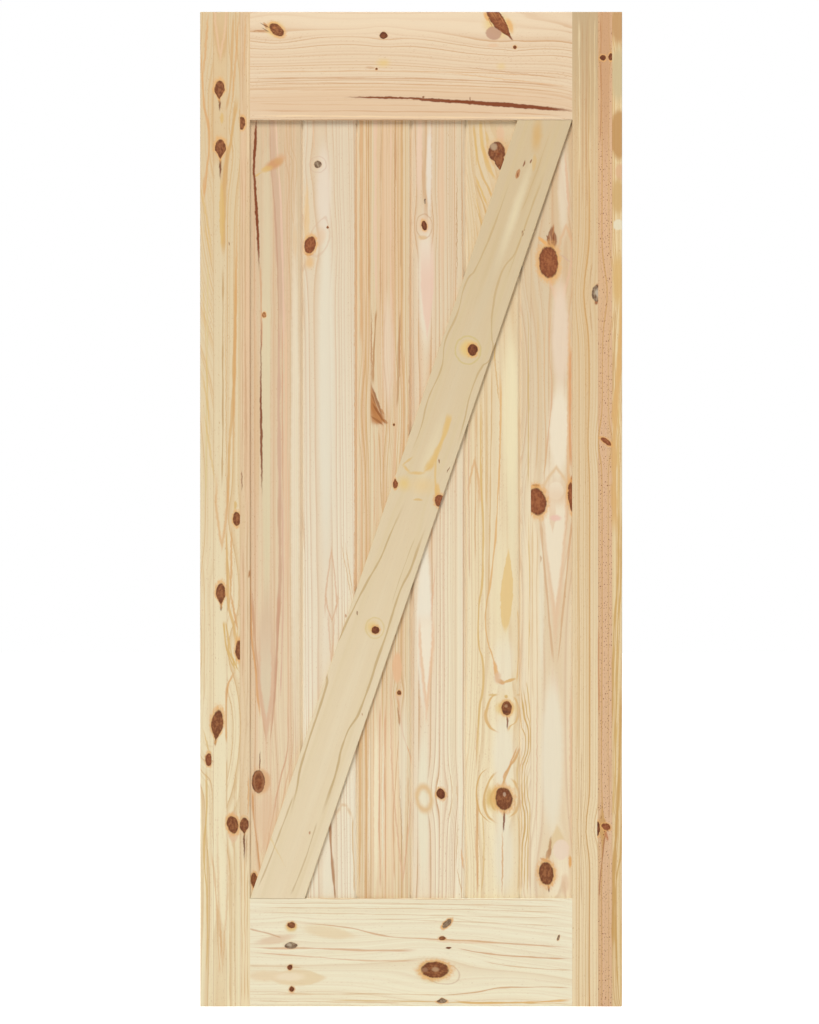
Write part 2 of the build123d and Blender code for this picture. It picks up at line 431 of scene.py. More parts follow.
KNOT_SHADES = {
    "brown": (shade(116, 64, 34), shade(156, 98, 58)),
    "dark": (shade(98, 48, 24), shade(134, 76, 42)),
    "red": (shade(128, 68, 36), shade(160, 96, 56)),
    "grey": (shade(112, 84, 62), shade(168, 146, 118)),
    "tan": (shade(160, 102, 58), shade(196, 140, 90)),
}
BARK = shade(84, 46, 30)
GLOW = shade(224, 168, 100)
RESIN = shade(224, 192, 122)
CREAM = shade(234, 224, 198)
OLIVE = shade(218, 205, 168)
PINK = shade(223, 188, 152)
MAUVE = shade(206, 172, 146)
TAN = shade(214, 178, 128)
GOLD = shade(214, 176, 108)
ORANGE = shade(212, 156, 96)
ORANGE_LATE = shade(203, 158, 100)
PINK_LATE = shade(203, 160, 118)
STREAK = shade(126, 60, 24)
SMUDGE = shade(184, 130, 84)

MIX_SHARE, MIX_UNDER, MIX_OVER, MIX_RESULT = 0, 6, 7, 2


def mixed(under, over, share):
    """One colour laid over another. The share, a Field, is how much of the upper one shows."""
    node = share.node("ShaderNodeMix", data_type="RGBA", take=MIX_RESULT)
    tree, box = share.outlet.id_data, node.outlet.node
    for number, value in ((MIX_UNDER, under), (MIX_OVER, over), (MIX_SHARE, share)):
        if isinstance(value, Field):
            tree.links.new(value.outlet, box.inputs[number])
        else:
            box.inputs[number].default_value = value
    return node


print(len(KNOT_SHADES), "kinds of knot:", ", ".join(KNOT_SHADES))

# %% [markdown]
# ## Knots
#
# A knot is the root of a branch. On the face it is a dark oval with a thin, almost black rim of bark and
# a redder middle, and the wood around it is stained by resin. The grain flows past it to both sides. A
# knot could be a hole filled with another piece of wood, but on a planed board it is flush, so colour is
# enough: a tail, a glow, a mottled middle and a rim are laid over the wood one after another. The grain
# is parted by moving the places that the rings are counted from.

# %% Knots and the grain that parts round them
SWIRL_WIDE = 2.6
SWIRL_TALL = 5.0
KNOT_DEFAULTS = dict(kind="brown", turn=0.0, point=0.0, tail=0.0, swirl=0.7, glow=0.8, cut=None)


def knot(right, up, wide, tall, **more):
    """One knot of a board, in millimetres.

    point draws its lower end out (or its upper end, below 0), tail is the length of the dark line that
    runs on from there, swirl is how strongly it parts the rings, and cut=(left, right) is where glue
    lines cut it off.
    """
    return dict(KNOT_DEFAULTS, right=right, up=up, wide=wide, tall=tall, **more)


def part_the_grain(wood, knots, grain_turn):
    """The place across the grain, spread apart round every knot so that the rings flow past it."""
    turn = math.radians(grain_turn)
    across = wood.across
    for one in knots:
        if one["swirl"]:
            thick = (one["wide"] + one["tall"]) / 2
            away = wood.spot(one["right"], one["up"], thick * SWIRL_WIDE, thick * SWIRL_TALL, -grain_turn)
            middle = one["right"] * math.cos(turn) + one["up"] * math.sin(turn)
            pull = away.sum("EXPONENT", away * away * -1.0) * one["swirl"]
            across = across - (wood.across - middle) * pull
    return across


print(f"a knot parts the grain over {SWIRL_WIDE} times its width and {SWIRL_TALL} times its height")

# %% Drawing the knots
TAIL_WIDTH = 0.3
NARROWEST_TAIL = 4.0
CUT_AWAY = 9.0


def cut_off(wood, away, limits):
    """Leaves only what lies between two glue lines."""
    left, right = limits or (None, None)
    if left is not None:
        away = (1.0 - wood.across.above(left)) * CUT_AWAY + away
    if right is not None:
        away = wood.across.above(right) * CUT_AWAY + away
    return away


def draw_knots(wood, colour, knots):
    """Lays each knot's tail, glow, body and rim over the wood."""
    nearest = None
    mottle = wood.noise(4.5, 7.0, detail=3, layer=9, roughness=0.65)
    for one in knots:
        right, up, wide, tall, turn = (one[name] for name in ("right", "up", "wide", "tall", "turn"))
        away = cut_off(wood, wood.spot(right, up, wide, tall, turn, one["point"]), one["cut"])
        deep, light = KNOT_SHADES[one["kind"]]
        if one["tail"]:
            lean, down = math.radians(turn), math.copysign(1, one["point"] or 1)
            reach = (tall / 2 + one["tail"] * 0.3) * down
            end = (right - reach * math.sin(lean), up - reach * math.cos(lean))
            tail = wood.spot(*end, max(wide * TAIL_WIDTH, NARROWEST_TAIL), one["tail"] * 1.6, turn)
            colour = mixed(colour, deep, cut_off(wood, tail, one["cut"]).fade(0.3, 1.0, 0.9, 0.0))
        if one["glow"]:
            glow = (away + mottle).fade(1.45, 2.1, one["glow"], 0.0)
            colour = mixed(colour, GLOW, glow)
        middle = mixed(light, deep, (mottle + away * 0.16).fade(0.4, 0.72))
        colour = mixed(colour, middle, away.fade(0.88, 1.04, 1.0, 0.0))
        nearest = away if nearest is None else away.sum("MINIMUM", away, nearest)
    if nearest is not None:
        rim = nearest.fade(0.8, 0.93) * nearest.fade(0.95, 1.06, 1.0, 0.0)
        colour = mixed(colour, BARK, rim * mottle.fade(0.38, 0.6, 0.0, 0.55))
    return colour


print(f"a knot's tail is {TAIL_WIDTH:.0%} as wide as the knot")

# %% [markdown]
# ## Marks
#
# A mark is any other figure in the wood: a resin streak, a flame, a speck, one line of the grain. They
# could all come from noise, but the ones that catch the eye have a certain place on each board, as every
# joiner who lays out boards knows. So each is written down by place: right and up in millimetres, width,
# tint and strength. There are five tools: `mark` for a stain, `streak` for a slim one between two places,
# `grain` for a line that flows along the board, `hoop` for a closed ring and `tongue` for a V.

# %% Stains, streaks, lines, hoops and tongues
def mark(right, up, wide, tall, tint, strength=0.6, turn=0.0, soft=0.6, cut=None, point=0.0):
    """A stain of the given tint. Soft 1 fades all the way from its middle, and 0 has a hard edge."""
    place = (right, up, wide, tall, turn, point)
    return dict(place=place, tint=tint, strength=strength, soft=soft, cut=cut, line=0.0)


STREAK_REACH = 1.15


def streak(right, up, to_right, to_up, wide, tint, strength=0.8, soft=0.5, cut=None):
    """A slim stain that runs from one place to another, and thins out at both ends."""
    turn = math.degrees(math.atan2(to_right - right, to_up - up))
    tall = math.hypot(to_right - right, to_up - up) * STREAK_REACH
    return mark((right + to_right) / 2, (up + to_up) / 2, wide, tall, tint, strength, turn, soft, cut)


def grain(places, wide, tint, strength=0.7, soft=0.7, cut=None):
    """A thin line that flows along the grain through the given (right, up) places."""
    return dict(places=places, wide=wide, tint=tint, strength=strength, soft=soft, cut=cut, line=0.0)


def hoop(right, up, wide, tall, line, tint, strength=0.6, turn=0.0, point=0.0, cut=None):
    """A closed line round a place, such as one ring that shows round a knot."""
    return dict(mark(right, up, wide, tall, tint, strength, turn, 0.3, cut, point), line=line)


def tongue(right, tip, wide, tall, tint, strength=0.6, line=0.0, fade_out=1.0, cut=None, soft=0.35):
    """A V-shaped figure with its tip at the given height. It points up if `tall` is below 0.

    A line of 0 fills it. Any other line draws only its edge, that many millimetres thick. It fades out
    over fade_out times its own height beyond its broad end.
    """
    place = (right, tip + tall, wide, abs(tall) * 2, 180.0 if tall < 0 else 0.0)
    return dict(
        place=place, tint=tint, strength=strength, soft=soft, cut=cut, line=line, fade_out=fade_out
    )


print("five tools:", ", ".join(tool.__name__ for tool in (mark, streak, grain, hoop, tongue)))

# %% How far each point is from a mark
LINE_END = 0.12
TIP_SHAPE = 1.4


def grain_distance(wood, one):
    """Distance from a grain line's middle: 1 at its edge. Its ends fade away."""
    side, rise = math.cos(wood.turn), math.sin(wood.turn)
    stops = [(up * side - right * rise, right * side + up * rise) for right, up in one["places"]]
    start, stop = min(stops)[0], max(stops)[0]
    reach = (stop - start) * LINE_END
    fading = wood.along.fade(start, start + reach) * wood.along.fade(stop - reach, stop, 1.0, 0.0)
    away = wood.unsteady - path(wood.along, stops)
    return away.sum("ABSOLUTE", away) / wood.pressure * (2 / one["wide"]), fading


def tongue_distance(wood, one):
    """Distance from a tongue's middle line: 1 at its edge."""
    inside = wood.inside(*one["place"], swaying=True)
    sideways = inside.node("ShaderNodeSeparateXYZ", inside)
    upwards = Field(sideways.outlet.node.outputs[2])
    down = upwards.sum("MAXIMUM", upwards * -1.0, 0.0)
    fading = upwards.fade(0.0, one["fade_out"], 1.0, 0.0)
    return sideways.sum("ABSOLUTE", sideways) + down ** TIP_SHAPE, fading


print(f"lines fade over the last {LINE_END:.0%} of their length")


# %% Drawing the marks
def draw_marks(wood, colour, marks):
    """Lays the marks over the wood, later ones on top."""
    for one in marks:
        fading = 1.0
        if "places" in one:
            away, fading = grain_distance(wood, one)
        elif "fade_out" in one:
            away, fading = tongue_distance(wood, one)
        else:
            away = wood.spot(*one["place"], swaying=one["place"][3] > SWAY_LENGTH / 2)
        away = cut_off(wood, away, one["cut"])
        if one["line"]:
            reach = one["line"] / min(one["place"][2:4]) * 2
            share = away.fade(1.0 - reach, 1.0, 0.0, one["strength"])
            share = share * away.fade(1.0, 1.0 + reach, 1.0, 0.0)
        else:
            share = away.fade(1.0 - one["soft"], 1.0, one["strength"], 0.0)
        colour = mixed(colour, one["tint"], share * fading)
    return colour


print(f"marks longer than {SWAY_LENGTH / 2:.0f} mm sway with the grain")

# %% [markdown]
# ## The pine itself
#
# Now the layers come together into one board's material: pale wood, darker late wood along the rings,
# broad blushes of heartwood, the marks, then the knots on top. Planing cuts the fibres into fine streaks
# along the grain, which show as faint light and dark lines and in how the surface shines. End grain soaks
# up light, so faces cut across the grain are darker. The surface has the low, broken sheen of bare wood.
# All of it could be one long function, but four short ones are easier to read and to change.

# %% Pale wood, painted light towards the floor, staves and blushes
FAR_LEFT = -THROUGH
BAND_STEP = 13.0


def start_material(name):
    """A new material, with its tree and its shader."""
    material = bpy.data.materials.new(name)
    material.use_nodes = True
    return material, material.node_tree, material.node_tree.nodes["Principled BSDF"]


def pale_wood(wood, distance, stripes, board):
    """The wood between the rings: paler towards the floor as painted light, tinted by stave, with blushes.
    """
    bands = by_distance(distance, BAND_STEP, board["seed"] * 2.3)
    rise = wood.place.node("ShaderNodeSeparateXYZ", wood.place, take=2)
    # Painted light: pale_high at the top and the paler pale_low at the floor make the door brighter towards
    # its foot, where more light falls.
    pale = mixed(board["pale_low"], board["pale_high"], rise.fade(0, door_height * MILLIMETRES))
    for joint, tint in zip([FAR_LEFT, *board["glue_lines"]], board["stave_tints"]):
        if tint:
            pale = mixed(pale, tint[0], wood.across.above(joint) * tint[1])
    pale = mixed(pale, board["band"], bands.fade(0.42, 0.7, 0.0, board["bands"]))
    return mixed(pale, board["band"], stripes.fade(0.45, 0.75, 0.0, board["stripes"]))


print(f"blushes are about {BAND_STEP:.0f} mm apart")

# %% Rings, pores, marks and knots over it
GLUE_LINE_WIDTH = 0.6
GLUE_LINE_STRENGTH = 0.35
V_JOINT_REACH = 4.8
V_JOINT_STRENGTH = 0.22
V_JOINT_PAINTED_LIGHT = shade(255, 242, 214)


def figure(wood, pale, late, fibre, stripes, board):
    """Everything that is drawn on the pale wood, in order, ending with painted light along the V joints."""
    late_share = late * fibre.fade(0.2, 0.8, 0.7, 1.15) * board["contrast"]
    colour = mixed(pale, board["late"], late_share)
    pores = wood.noise(0.9, 4.5, detail=0, layer=3)
    pore_share = pores.fade(0.68, 0.8) * stripes.fade(0.4, 0.6, 0.1, 0.6) * board["pores"]
    if board["speckled"]:
        left, right, strength = board["speckled"]
        specks = wood.noise(2.2, 3.6, detail=1, layer=17).fade(0.63, 0.7, 0.0, strength)
        specks = specks * wood.across.above(left) * (1.0 - wood.across.above(right))
        colour = mixed(colour, STREAK, specks)
    colour = mixed(colour, SMUDGE, pore_share)
    colour = draw_marks(wood, colour, board["marks"])
    for joint in board["glue_lines"]:
        line = wood.across.sum("COMPARE", wood.across, joint, GLUE_LINE_WIDTH)
        colour = mixed(colour, SMUDGE, line * GLUE_LINE_STRENGTH)
    colour = draw_knots(wood, colour, board["knots"])
    colour = draw_marks(wood, colour, board["over"])
    # Painted light: each V joint is tinted paler across its chamfers, to lift the shade that falls in the
    # V.
    for joint in board["v_joints"]:
        painted_light = wood.across.sum("COMPARE", wood.across, joint, V_JOINT_REACH)
        colour = mixed(colour, V_JOINT_PAINTED_LIGHT, painted_light * V_JOINT_STRENGTH)
    return colour


print(f"glue lines are {GLUE_LINE_WIDTH * 2:.1f} mm wide, V joints {V_JOINT_REACH * 2:.1f} mm")

# %% Fibres, end grain and sheen
FIBRE_CONTRAST = 0.05
END_GRAIN_DARKNESS = 0.78
BARE_SHEEN = 0.28
ROUGHNESS = 0.66
RELIEF = 0.0002


def plane_smooth(wood, tree, shader, colour, late, fibre, board):
    """The planed surface: faint fibres, dark end grain, a broken sheen and a low relief."""
    facing = wood.place.node("ShaderNodeTexCoord", take=1)
    turn = (0, math.radians(board["grain_turn"]), 0)
    facing = facing.node("ShaderNodeMapping", facing, (0, 0, 0), turn, (1, 1, 1))
    end_on = facing.node("ShaderNodeSeparateXYZ", facing, take=2)
    end_on = end_on.sum("ABSOLUTE", end_on)
    light = (fibre - 0.5) * (2 * FIBRE_CONTRAST) + end_on.fade(0.6, 0.95, 1.0, END_GRAIN_DARKNESS)
    lit = colour.node("ShaderNodeVectorMath", colour, operation="SCALE")
    tree.links.new(light.outlet, lit.outlet.node.inputs["Scale"])
    tree.links.new(lit.outlet, shader.inputs["Base Color"])

    roughness = ROUGHNESS - late * 0.1 + (fibre - 0.5) * 0.25
    tree.links.new(roughness.outlet, shader.inputs["Roughness"])
    shader.inputs["Specular IOR Level"].default_value = BARE_SHEEN
    relief = fibre * 0.6 + late * 0.4
    bump = relief.node("ShaderNodeBump")
    bump_box = bump.outlet.node
    bump_box.inputs["Strength"].default_value = 0.35
    bump_box.inputs["Distance"].default_value = RELIEF
    tree.links.new(relief.outlet, bump_box.inputs["Height"])
    tree.links.new(bump.outlet, shader.inputs["Normal"])


print(f"the late wood stands {RELIEF * MILLIMETRES:.1f} mm proud at most")


# %% One board's material
def pine(name, board):
    """The material of one board."""
    material, tree, shader = start_material(name)
    wood = Wood(tree, board["grain_turn"], board["seed"])
    across = part_the_grain(wood, board["knots"] + board["swirls"], board["grain_turn"])
    distance = heart_distance(wood, across, board)
    late = late_wood(distance, board)
    fibre = wood.noise(0.9, 38, detail=3, layer=1, roughness=0.6)
    stripes = wood.noise(6, 900, detail=3, layer=2, roughness=0.65)
    pale = pale_wood(wood, distance, stripes, board)
    colour = figure(wood, pale, late, fibre, stripes, board)
    plane_smooth(wood, tree, shader, colour, late, fibre, board)
    print(name, len(tree.nodes), "nodes")
    return material


boards = [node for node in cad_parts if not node.startswith(("dowel_", "brace_brads"))]
print(f"pine is ready for {len(boards)} boards")


# %% [markdown]
# ## The boards one by one
#
# Each board was cut from a different place in a different tree, so each gets its own heart, ring width,
# tint and seed. A table of numbers for all eleven would be hard to follow, so `board` gives everyday
# values for whatever a board doesn't say, and `dress` puts the wood on its piece of the frame. The pieces
# keep the shape that they have in the CAD model.

# %% What most boards share
PLANK_PITCH = 116.7
PLANKS_LEFT = 3


def board(pale_high, pale_low, late, seed, **more):
    """A board's description, with everyday values for what isn't given.

    hearts has one list of (along, across, depth) stops for each stave of the board.
    """
    described = dict(
        pale_high=pale_high, pale_low=pale_low, late=late, seed=seed, grain_turn=0.0,
        hearts=[[(0, 0, 40)]], ring=4.5, band=TAN, bands=0.4, stripes=0.35, contrast=0.8,
        glue_lines=[], stave_tints=[], knots=[], swirls=[], marks=[], over=[], speckled=None, pores=1.0,
        v_joints=[],
    )
    described.update(more)
    return described


print(f"planks are {PLANK_PITCH:.1f} mm apart")


# %% Putting the wood on a piece
def dress(node, description):
    """Gives a board of the frame its wood."""
    if node.startswith("plank"):
        steps = int(node[-1]) - PLANKS_LEFT - 1
        description["v_joints"] = [steps * PLANK_PITCH, (steps + 1) * PLANK_PITCH]
    material = pine(f"pine_{node}", description)
    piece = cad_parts[node]
    piece.data.materials.clear()
    piece.data.materials.append(material)


# %% [markdown]
# ## Left stile
#
# A stile is an upright of the door's frame. This one is glued up from four narrow staves, because narrow
# strips stay straighter than one wide board. It could be drawn as one piece with lines ruled on it, but
# each stave comes from another tree, so `glue_lines` says where one ends and each has its own heart. The
# teardrop knots are spots with a drawn-out lower end and a tail; the orange ribbons that swing past them
# are placed one by one, since the eye follows them all the way down.

# %% Left stile: knots
knots = [
    knot(-411, 1966, 22, 42, point=2.4, tail=26), knot(-409, 1839, 24, 44, point=2.4, tail=44),
    knot(-364, 1895, 17, 28, cut=(-367, None)), knot(-374, 1046, 17, 30, cut=(None, -367)),
    knot(-408, 885, 21, 47, point=2.0, tail=14), knot(-368, 765, 18, 43, cut=(None, -367)),
    knot(-416, 604, 26, 66, point=1.6, tail=12, turn=6),
    knot(-434, 530, 14, 28, kind="red", cut=(None, -428)), knot(-383, 390, 24, 39, turn=-12),
    knot(-358, 388, 20, 34, cut=(None, -345), point=1.2, tail=60, glow=0.5),
]
print(len(knots), "knots")

# %% Left stile: lines and stains
marks = [
    tongue(-409, 2040, 26, 90, PINK, 0.7, line=5), streak(-436, 2134, -447, 1990, 7, ORANGE, 0.6),
    streak(-368, 2134, -385, 1930, 6, ORANGE, 0.55), streak(-354, 2134, -359, 1990, 5, ORANGE, 0.4),
    grain([(-381, 2134), (-384, 2040), (-388, 1975), (-402, 1915)], 7, shade(206, 160, 104)),
    grain([(-373, 1960), (-386, 1860), (-398, 1795), (-402, 1600)], 12, shade(206, 162, 102), 0.85),
    grain([(-450, 2060), (-445, 1940), (-433, 1860), (-438, 1795), (-446, 1720)], 6, ORANGE, 0.7),
    grain([(-404, 1600), (-404, 1350), (-406, 1100)], 4, shade(190, 150, 100), 0.8),
    grain([(-375, 1640), (-378, 1430), (-382, 1307), (-390, 1185), (-394, 1040)], 9, shade(208, 164, 106),
        0.8),
    grain([(-384, 1300), (-388, 1200), (-392, 1067)], 4, TAN, 0.7),
    grain([(-436, 1620), (-438, 1350), (-441, 1060)], 5, shade(214, 192, 138), 0.7),
    grain([(-446, 1560), (-440, 1400), (-431, 1200)], 3, GOLD, 0.5),
    grain([(-396, 1030), (-394, 930), (-392, 868), (-382, 822), (-375, 770)], 9, shade(214, 172, 108), 0.8),
    grain([(-402, 830), (-396, 775), (-388, 746), (-374, 722)], 6, GOLD, 0.95),
    grain([(-398, 830), (-391, 790), (-376, 716)], 5, GOLD, 0.8),
    grain([(-395, 560), (-395, 676), (-386, 704), (-374, 722)], 7, ORANGE, 0.75),
    grain([(-448, 960), (-443, 800), (-447, 640)], 4, TAN, 0.5),
    grain([(-441, 530), (-438, 440), (-444, 330), (-437, 220), (-442, 60)], 5, GOLD, 0.75),
    grain([(-448, 480), (-446, 300), (-449, 120)], 4, TAN, 0.5),
    grain([(-396, 533), (-396, 450), (-398, 418)], 4, TAN, 0.8),
    grain([(-377, 533), (-379, 300), (-376, 0)], 3, TAN, 0.7),
    grain([(-388, 340), (-390, 180), (-388, 0)], 4, TAN, 0.6),
    grain([(-430, 340), (-416, 200), (-411, 60)], 6, ORANGE, 0.45), mark(-406, 1905, 9, 30, GOLD, 0.8),
    mark(-407, 1700, 13, 170, GOLD, 0.8, soft=0.4), mark(-444, 1760, 8, 60, ORANGE, 0.6),
    mark(-443, 1700, 5, 170, GOLD, 0.6, turn=-10), mark(-436, 1640, 5, 120, GOLD, 0.5, turn=-12),
    mark(-434, 1200, 6, 200, GOLD, 0.5, turn=-9), mark(-440, 1300, 5, 160, GOLD, 0.5, turn=-8),
    mark(-437, 560, 5, 90, GOLD, 0.6, turn=-14), mark(-441, 350, 4, 240, GOLD, 0.5, turn=3),
    mark(-436, 300, 4, 200, GOLD, 0.5),
]
print(len(marks), "lines and stains")

# %% Left stile: more lines and stains
marks += [
    mark(-398, 1300, 3, 620, TAN, 0.8), mark(-377, 1440, 6, 700, ORANGE, 0.55, turn=1),
    mark(-351, 1330, 20, 760, PINK, 0.6, soft=0.4), mark(-358, 1800, 18, 330, PINK, 0.5),
    mark(-355, 1250, 9, 420, SMUDGE, 0.25), mark(-363, 1128, 4, 56, STREAK, 0.7),
    mark(-391, 1636, 3, 12, STREAK, 0.8), tongue(-406, 990, 24, 90, ORANGE, 0.6, line=5),
    mark(-377, 1075, 9, 26, GOLD, 0.8), streak(-384, 1030, -388, 880, 6, ORANGE, 0.7),
    streak(-388, 890, -371, 800, 6, ORANGE, 0.7), streak(-396, 770, -369, 718, 5, GOLD, 0.9),
    streak(-394, 812, -390, 740, 5, GOLD, 0.7), streak(-372, 812, -376, 720, 6, GOLD, 0.7),
    mark(-361, 850, 14, 420, PINK, 0.55), mark(-347, 928, 7, 22, SMUDGE, 0.9),
    mark(-381, 385, 27, 76, PINK, 0.8, soft=0.2, cut=(-396, -367)),
    streak(-352, 372, -355, 287, 5, SMUDGE, 0.85), mark(-376, 450, 3, 180, TAN, 0.6),
    tongue(-404, 95, 20, 170, ORANGE, 0.35, line=4), mark(-408, 140, 6, 100, ORANGE, 0.4),
    streak(-348, 500, -350, 405, 5, ORANGE, 0.6),
    mark(-356, 120, 34, 580, shade(236, 219, 180), 0.85, soft=0.5, cut=(-367, None)),
    grain([(-364, 340), (-363, 150), (-365, 0)], 3, TAN, 0.8),
    grain([(-357, 340), (-356, 160), (-358, 0)], 3, ORANGE, 0.6),
    grain([(-350, 300), (-351, 150), (-349, 0)], 3, TAN, 0.7),
    grain([(-364, 1860), (-362, 1500), (-364, 1080)], 3, SMUDGE, 0.4),
    grain([(-354, 1860), (-356, 1600), (-353, 1180)], 3, SMUDGE, 0.35),
    grain([(-361, 1000), (-360, 860), (-362, 700)], 3, SMUDGE, 0.4),
    grain([(-352, 1100), (-351, 860), (-353, 560)], 3, SMUDGE, 0.35),
    grain([(-362, 2134), (-361, 2020), (-364, 1930)], 3, SMUDGE, 0.4),
    grain([(-349, 2134), (-350, 1980), (-349, 1800)], 4, shade(232, 208, 168), 0.6),
]
print(len(marks), "lines and stains")

# %% Left stile: its wood
dress("left_stile", board(
    shade(214, 192, 154), shade(239, 227, 191), ORANGE_LATE, 1.3, glue_lines=[-424, -395, -367], ring=5.5,
    bands=0.4, stripes=0.3, contrast=0.7, stave_tints=[None, None, None, (shade(218, 180, 144), 0.4)],
    knots=knots, marks=marks,
    hearts=[
        [(0, -480, 60), (430, -480, 60), (600, -520, 60), (1150, -520, 60), (1760, -640, 60),
            (2134, -640, 60)],
        [(0, -409, 44), (1000, -409, 50), (2134, -409, 40)], [(0, -330, 50), (2134, -320, 50)],
        [(0, -290, 80)],
    ],
))

# %% [markdown]
# ## Right stile
#
# The right stile has three staves: a straight-grained one, a reddish one full of tiny dark specks, and a
# wild one at the door's edge with broad tan patches. Straight grain comes from a heart far off to one
# side, and the specks are fine noise kept between two glue lines. The patches could come from noise as
# well, but they sit at certain heights on this stile, so they are marks with soft edges.

# %% Right stile: knots
knots = [
    knot(411, 2035, 14, 13, kind="dark"), knot(428, 2037, 9, 16, kind="dark", cut=(None, 431)),
    knot(399, 1530, 24, 36, kind="grey", cut=(None, 401), glow=0.15),
    knot(400, 382, 9, 32, kind="dark", cut=(399, None)),
    knot(418, 1212, 28, 11, kind="red", turn=34, glow=0.9), knot(418, 386, 20, 14, kind="red", turn=20),
]
over = [
    mark(400, 1531, 14, 24, shade(196, 182, 160), 0.75, cut=(None, 401)),
    streak(412, 388, 424, 374, 6, shade(150, 84, 50), 0.7),
    mark(419, 366, 8, 26, shade(190, 120, 76), 0.8, turn=-12),
    mark(410, 1216, 10, 8, shade(140, 78, 48), 0.8),
]
print(len(knots), "knots")

# %% Right stile: lines and stains
marks = [
    mark(374, 2160, 260, 760, shade(188, 162, 124), 0.75, soft=0.9, cut=(None, 401)),
    grain([(360, 2134), (361, 1950), (359, 1760)], 4, shade(226, 206, 164), 0.7),
    grain([(383, 2134), (384, 1920), (382, 1740)], 4, shade(222, 200, 158), 0.7),
    grain([(394, 2134), (393, 1850)], 3, shade(222, 198, 152), 0.7),
    mark(416, 2150, 36, 900, shade(196, 150, 108), 0.75),
    grain([(406, 2134), (407, 1980), (405, 1840)], 3, SMUDGE, 0.8),
    mark(384, 2000, 20, 300, shade(196, 164, 120), 0.4),
    mark(445, 2110, 44, 120, shade(190, 146, 96), 0.9, soft=0.5, cut=(431, None)),
    mark(446, 1870, 44, 124, shade(188, 142, 86), 0.9, soft=0.3, cut=(431, None)),
    mark(444, 2000, 40, 150, shade(200, 180, 138), 0.9, soft=0.5, cut=(431, None)),
    mark(450, 1790, 30, 46, shade(214, 170, 130), 0.8, soft=0.4, cut=(434, None)),
    mark(444, 1738, 40, 96, shade(202, 164, 106), 0.85, soft=0.5, cut=(431, None)),
    mark(445, 1677, 30, 26, shade(226, 214, 184), 0.9, soft=0.3, cut=(434, None)),
    mark(444, 1560, 32, 150, shade(212, 172, 108), 0.8, cut=(431, None)),
    grain([(453, 1540), (450, 1450), (442, 1326), (436, 1258), (436, 1000)], 16, shade(214, 168, 104),
        0.85),
    grain([(438, 1500), (434, 1380), (431, 1300)], 4, shade(196, 150, 94), 0.8),
    grain([(446, 1300), (444, 1180), (446, 1040)], 5, GOLD, 0.7),
]
print(len(marks), "lines and stains")

# %% Right stile: more lines and stains
marks += [
    grain([(445, 1090), (444, 945), (436, 822), (433, 725), (432, 580)], 6, shade(204, 162, 96), 0.9),
    grain([(452, 1090), (450, 920), (443, 798), (441, 700), (436, 520)], 5, shade(206, 166, 100), 0.9),
    grain([(450, 700), (448, 560), (442, 411), (435, 289), (433, 90)], 8, shade(200, 156, 90), 0.9),
    grain([(453, 470), (450, 337), (438, 240), (440, 118), (446, 20)], 5, shade(202, 160, 94), 0.9),
    grain([(443, 620), (436, 480), (432, 400)], 4, GOLD, 0.8),
    grain([(448, 200), (450, 100), (448, 0)], 4, GOLD, 0.7),
    grain([(417, 376), (412, 330), (405, 270), (403, 230)], 4, shade(176, 120, 78), 0.85),
    grain([(426, 540), (426, 450), (424, 400)], 3, SMUDGE, 0.8),
    grain([(401, 820), (402, 700), (401, 620)], 4, shade(200, 140, 92), 0.7),
    mark(427, 380, 10, 500, PINK, 0.5), grain([(378, 2134), (376, 1900), (379, 1700)], 3, SMUDGE, 0.5),
    grain([(366, 2134), (368, 1900), (364, 1700)], 3, SMUDGE, 0.4),
    grain([(392, 1600), (384, 1520), (390, 1440)], 3, SMUDGE, 0.4),
    mark(397, 1511, 9, 16, shade(140, 74, 42), 0.9), mark(399, 1546, 8, 12, shade(150, 92, 60), 0.8),
    grain([(356, 1067), (358, 800), (355, 533)], 4, TAN, 0.8),
    grain([(366, 560), (364, 400), (368, 200)], 4, SMUDGE, 0.35),
]
print(len(marks), "lines and stains")

# %% Right stile: its wood
dress("right_stile", board(
    shade(213, 186, 146), shade(236, 218, 180), ORANGE_LATE, 2.9, glue_lines=[401, 431], ring=3.8,
    stripes=0.5, bands=0.25, contrast=1.4,
    stave_tints=[None, (shade(216, 174, 138), 0.85), (shade(228, 206, 160), 0.95)],
    speckled=(401, 431, 1.5), knots=knots, marks=marks, over=over,
    hearts=[
        [(0, 250, 120)], [(0, 250, 160)],
        [(0, 404, 20), (500, 394, 20), (1000, 404, 20), (1500, 390, 20), (2134, 400, 20)],
    ],
))

# %% [markdown]
# ## Top rail
#
# A rail is a cross member, so its grain runs level: `grain_turn` turns the wood's own directions by a
# quarter. Its heart lies just above its upper edge, which spreads the rings into long shallow waves. The
# long dark line near the lower edge is a pocket where resin bled along one ring. It is three slim streaks,
# one after another, each a little thicker than the last.

# %% Top rail: knots
knots = [
    knot(-288, 2095, 36, 22, turn=38), knot(-59, 2083, 18, 15, kind="dark", glow=0.3),
    knot(188, 2112, 28, 86, kind="red", turn=-37, point=1.6, glow=0.0),
    knot(223, 2058, 8, 8, kind="dark", swirl=0.6), knot(-74, 2011, 6, 5, kind="dark", swirl=0),
]
over = [
    mark(-312, 2104, 20, 9, shade(196, 140, 88), 0.9, turn=60),
    streak(-324, 2110, -302, 2098, 3, BARK, 0.7), streak(-322, 2100, -304, 2090, 3, BARK, 0.6),
    mark(-294, 2100, 10, 7, shade(186, 116, 64), 0.6),
    mark(176, 2128, 16, 34, shade(184, 122, 72), 0.75, turn=-37, soft=0.8),
    streak(163, 2134, 180, 2104, 4, shade(130, 72, 40), 0.8),
    streak(172, 2134, 188, 2110, 3, shade(122, 66, 38), 0.7),
    streak(184, 2134, 203, 2106, 3, shade(186, 124, 74), 0.7),
    streak(164, 2122, 176, 2098, 3, shade(190, 130, 76), 0.7),
]
print(len(knots), "knots")

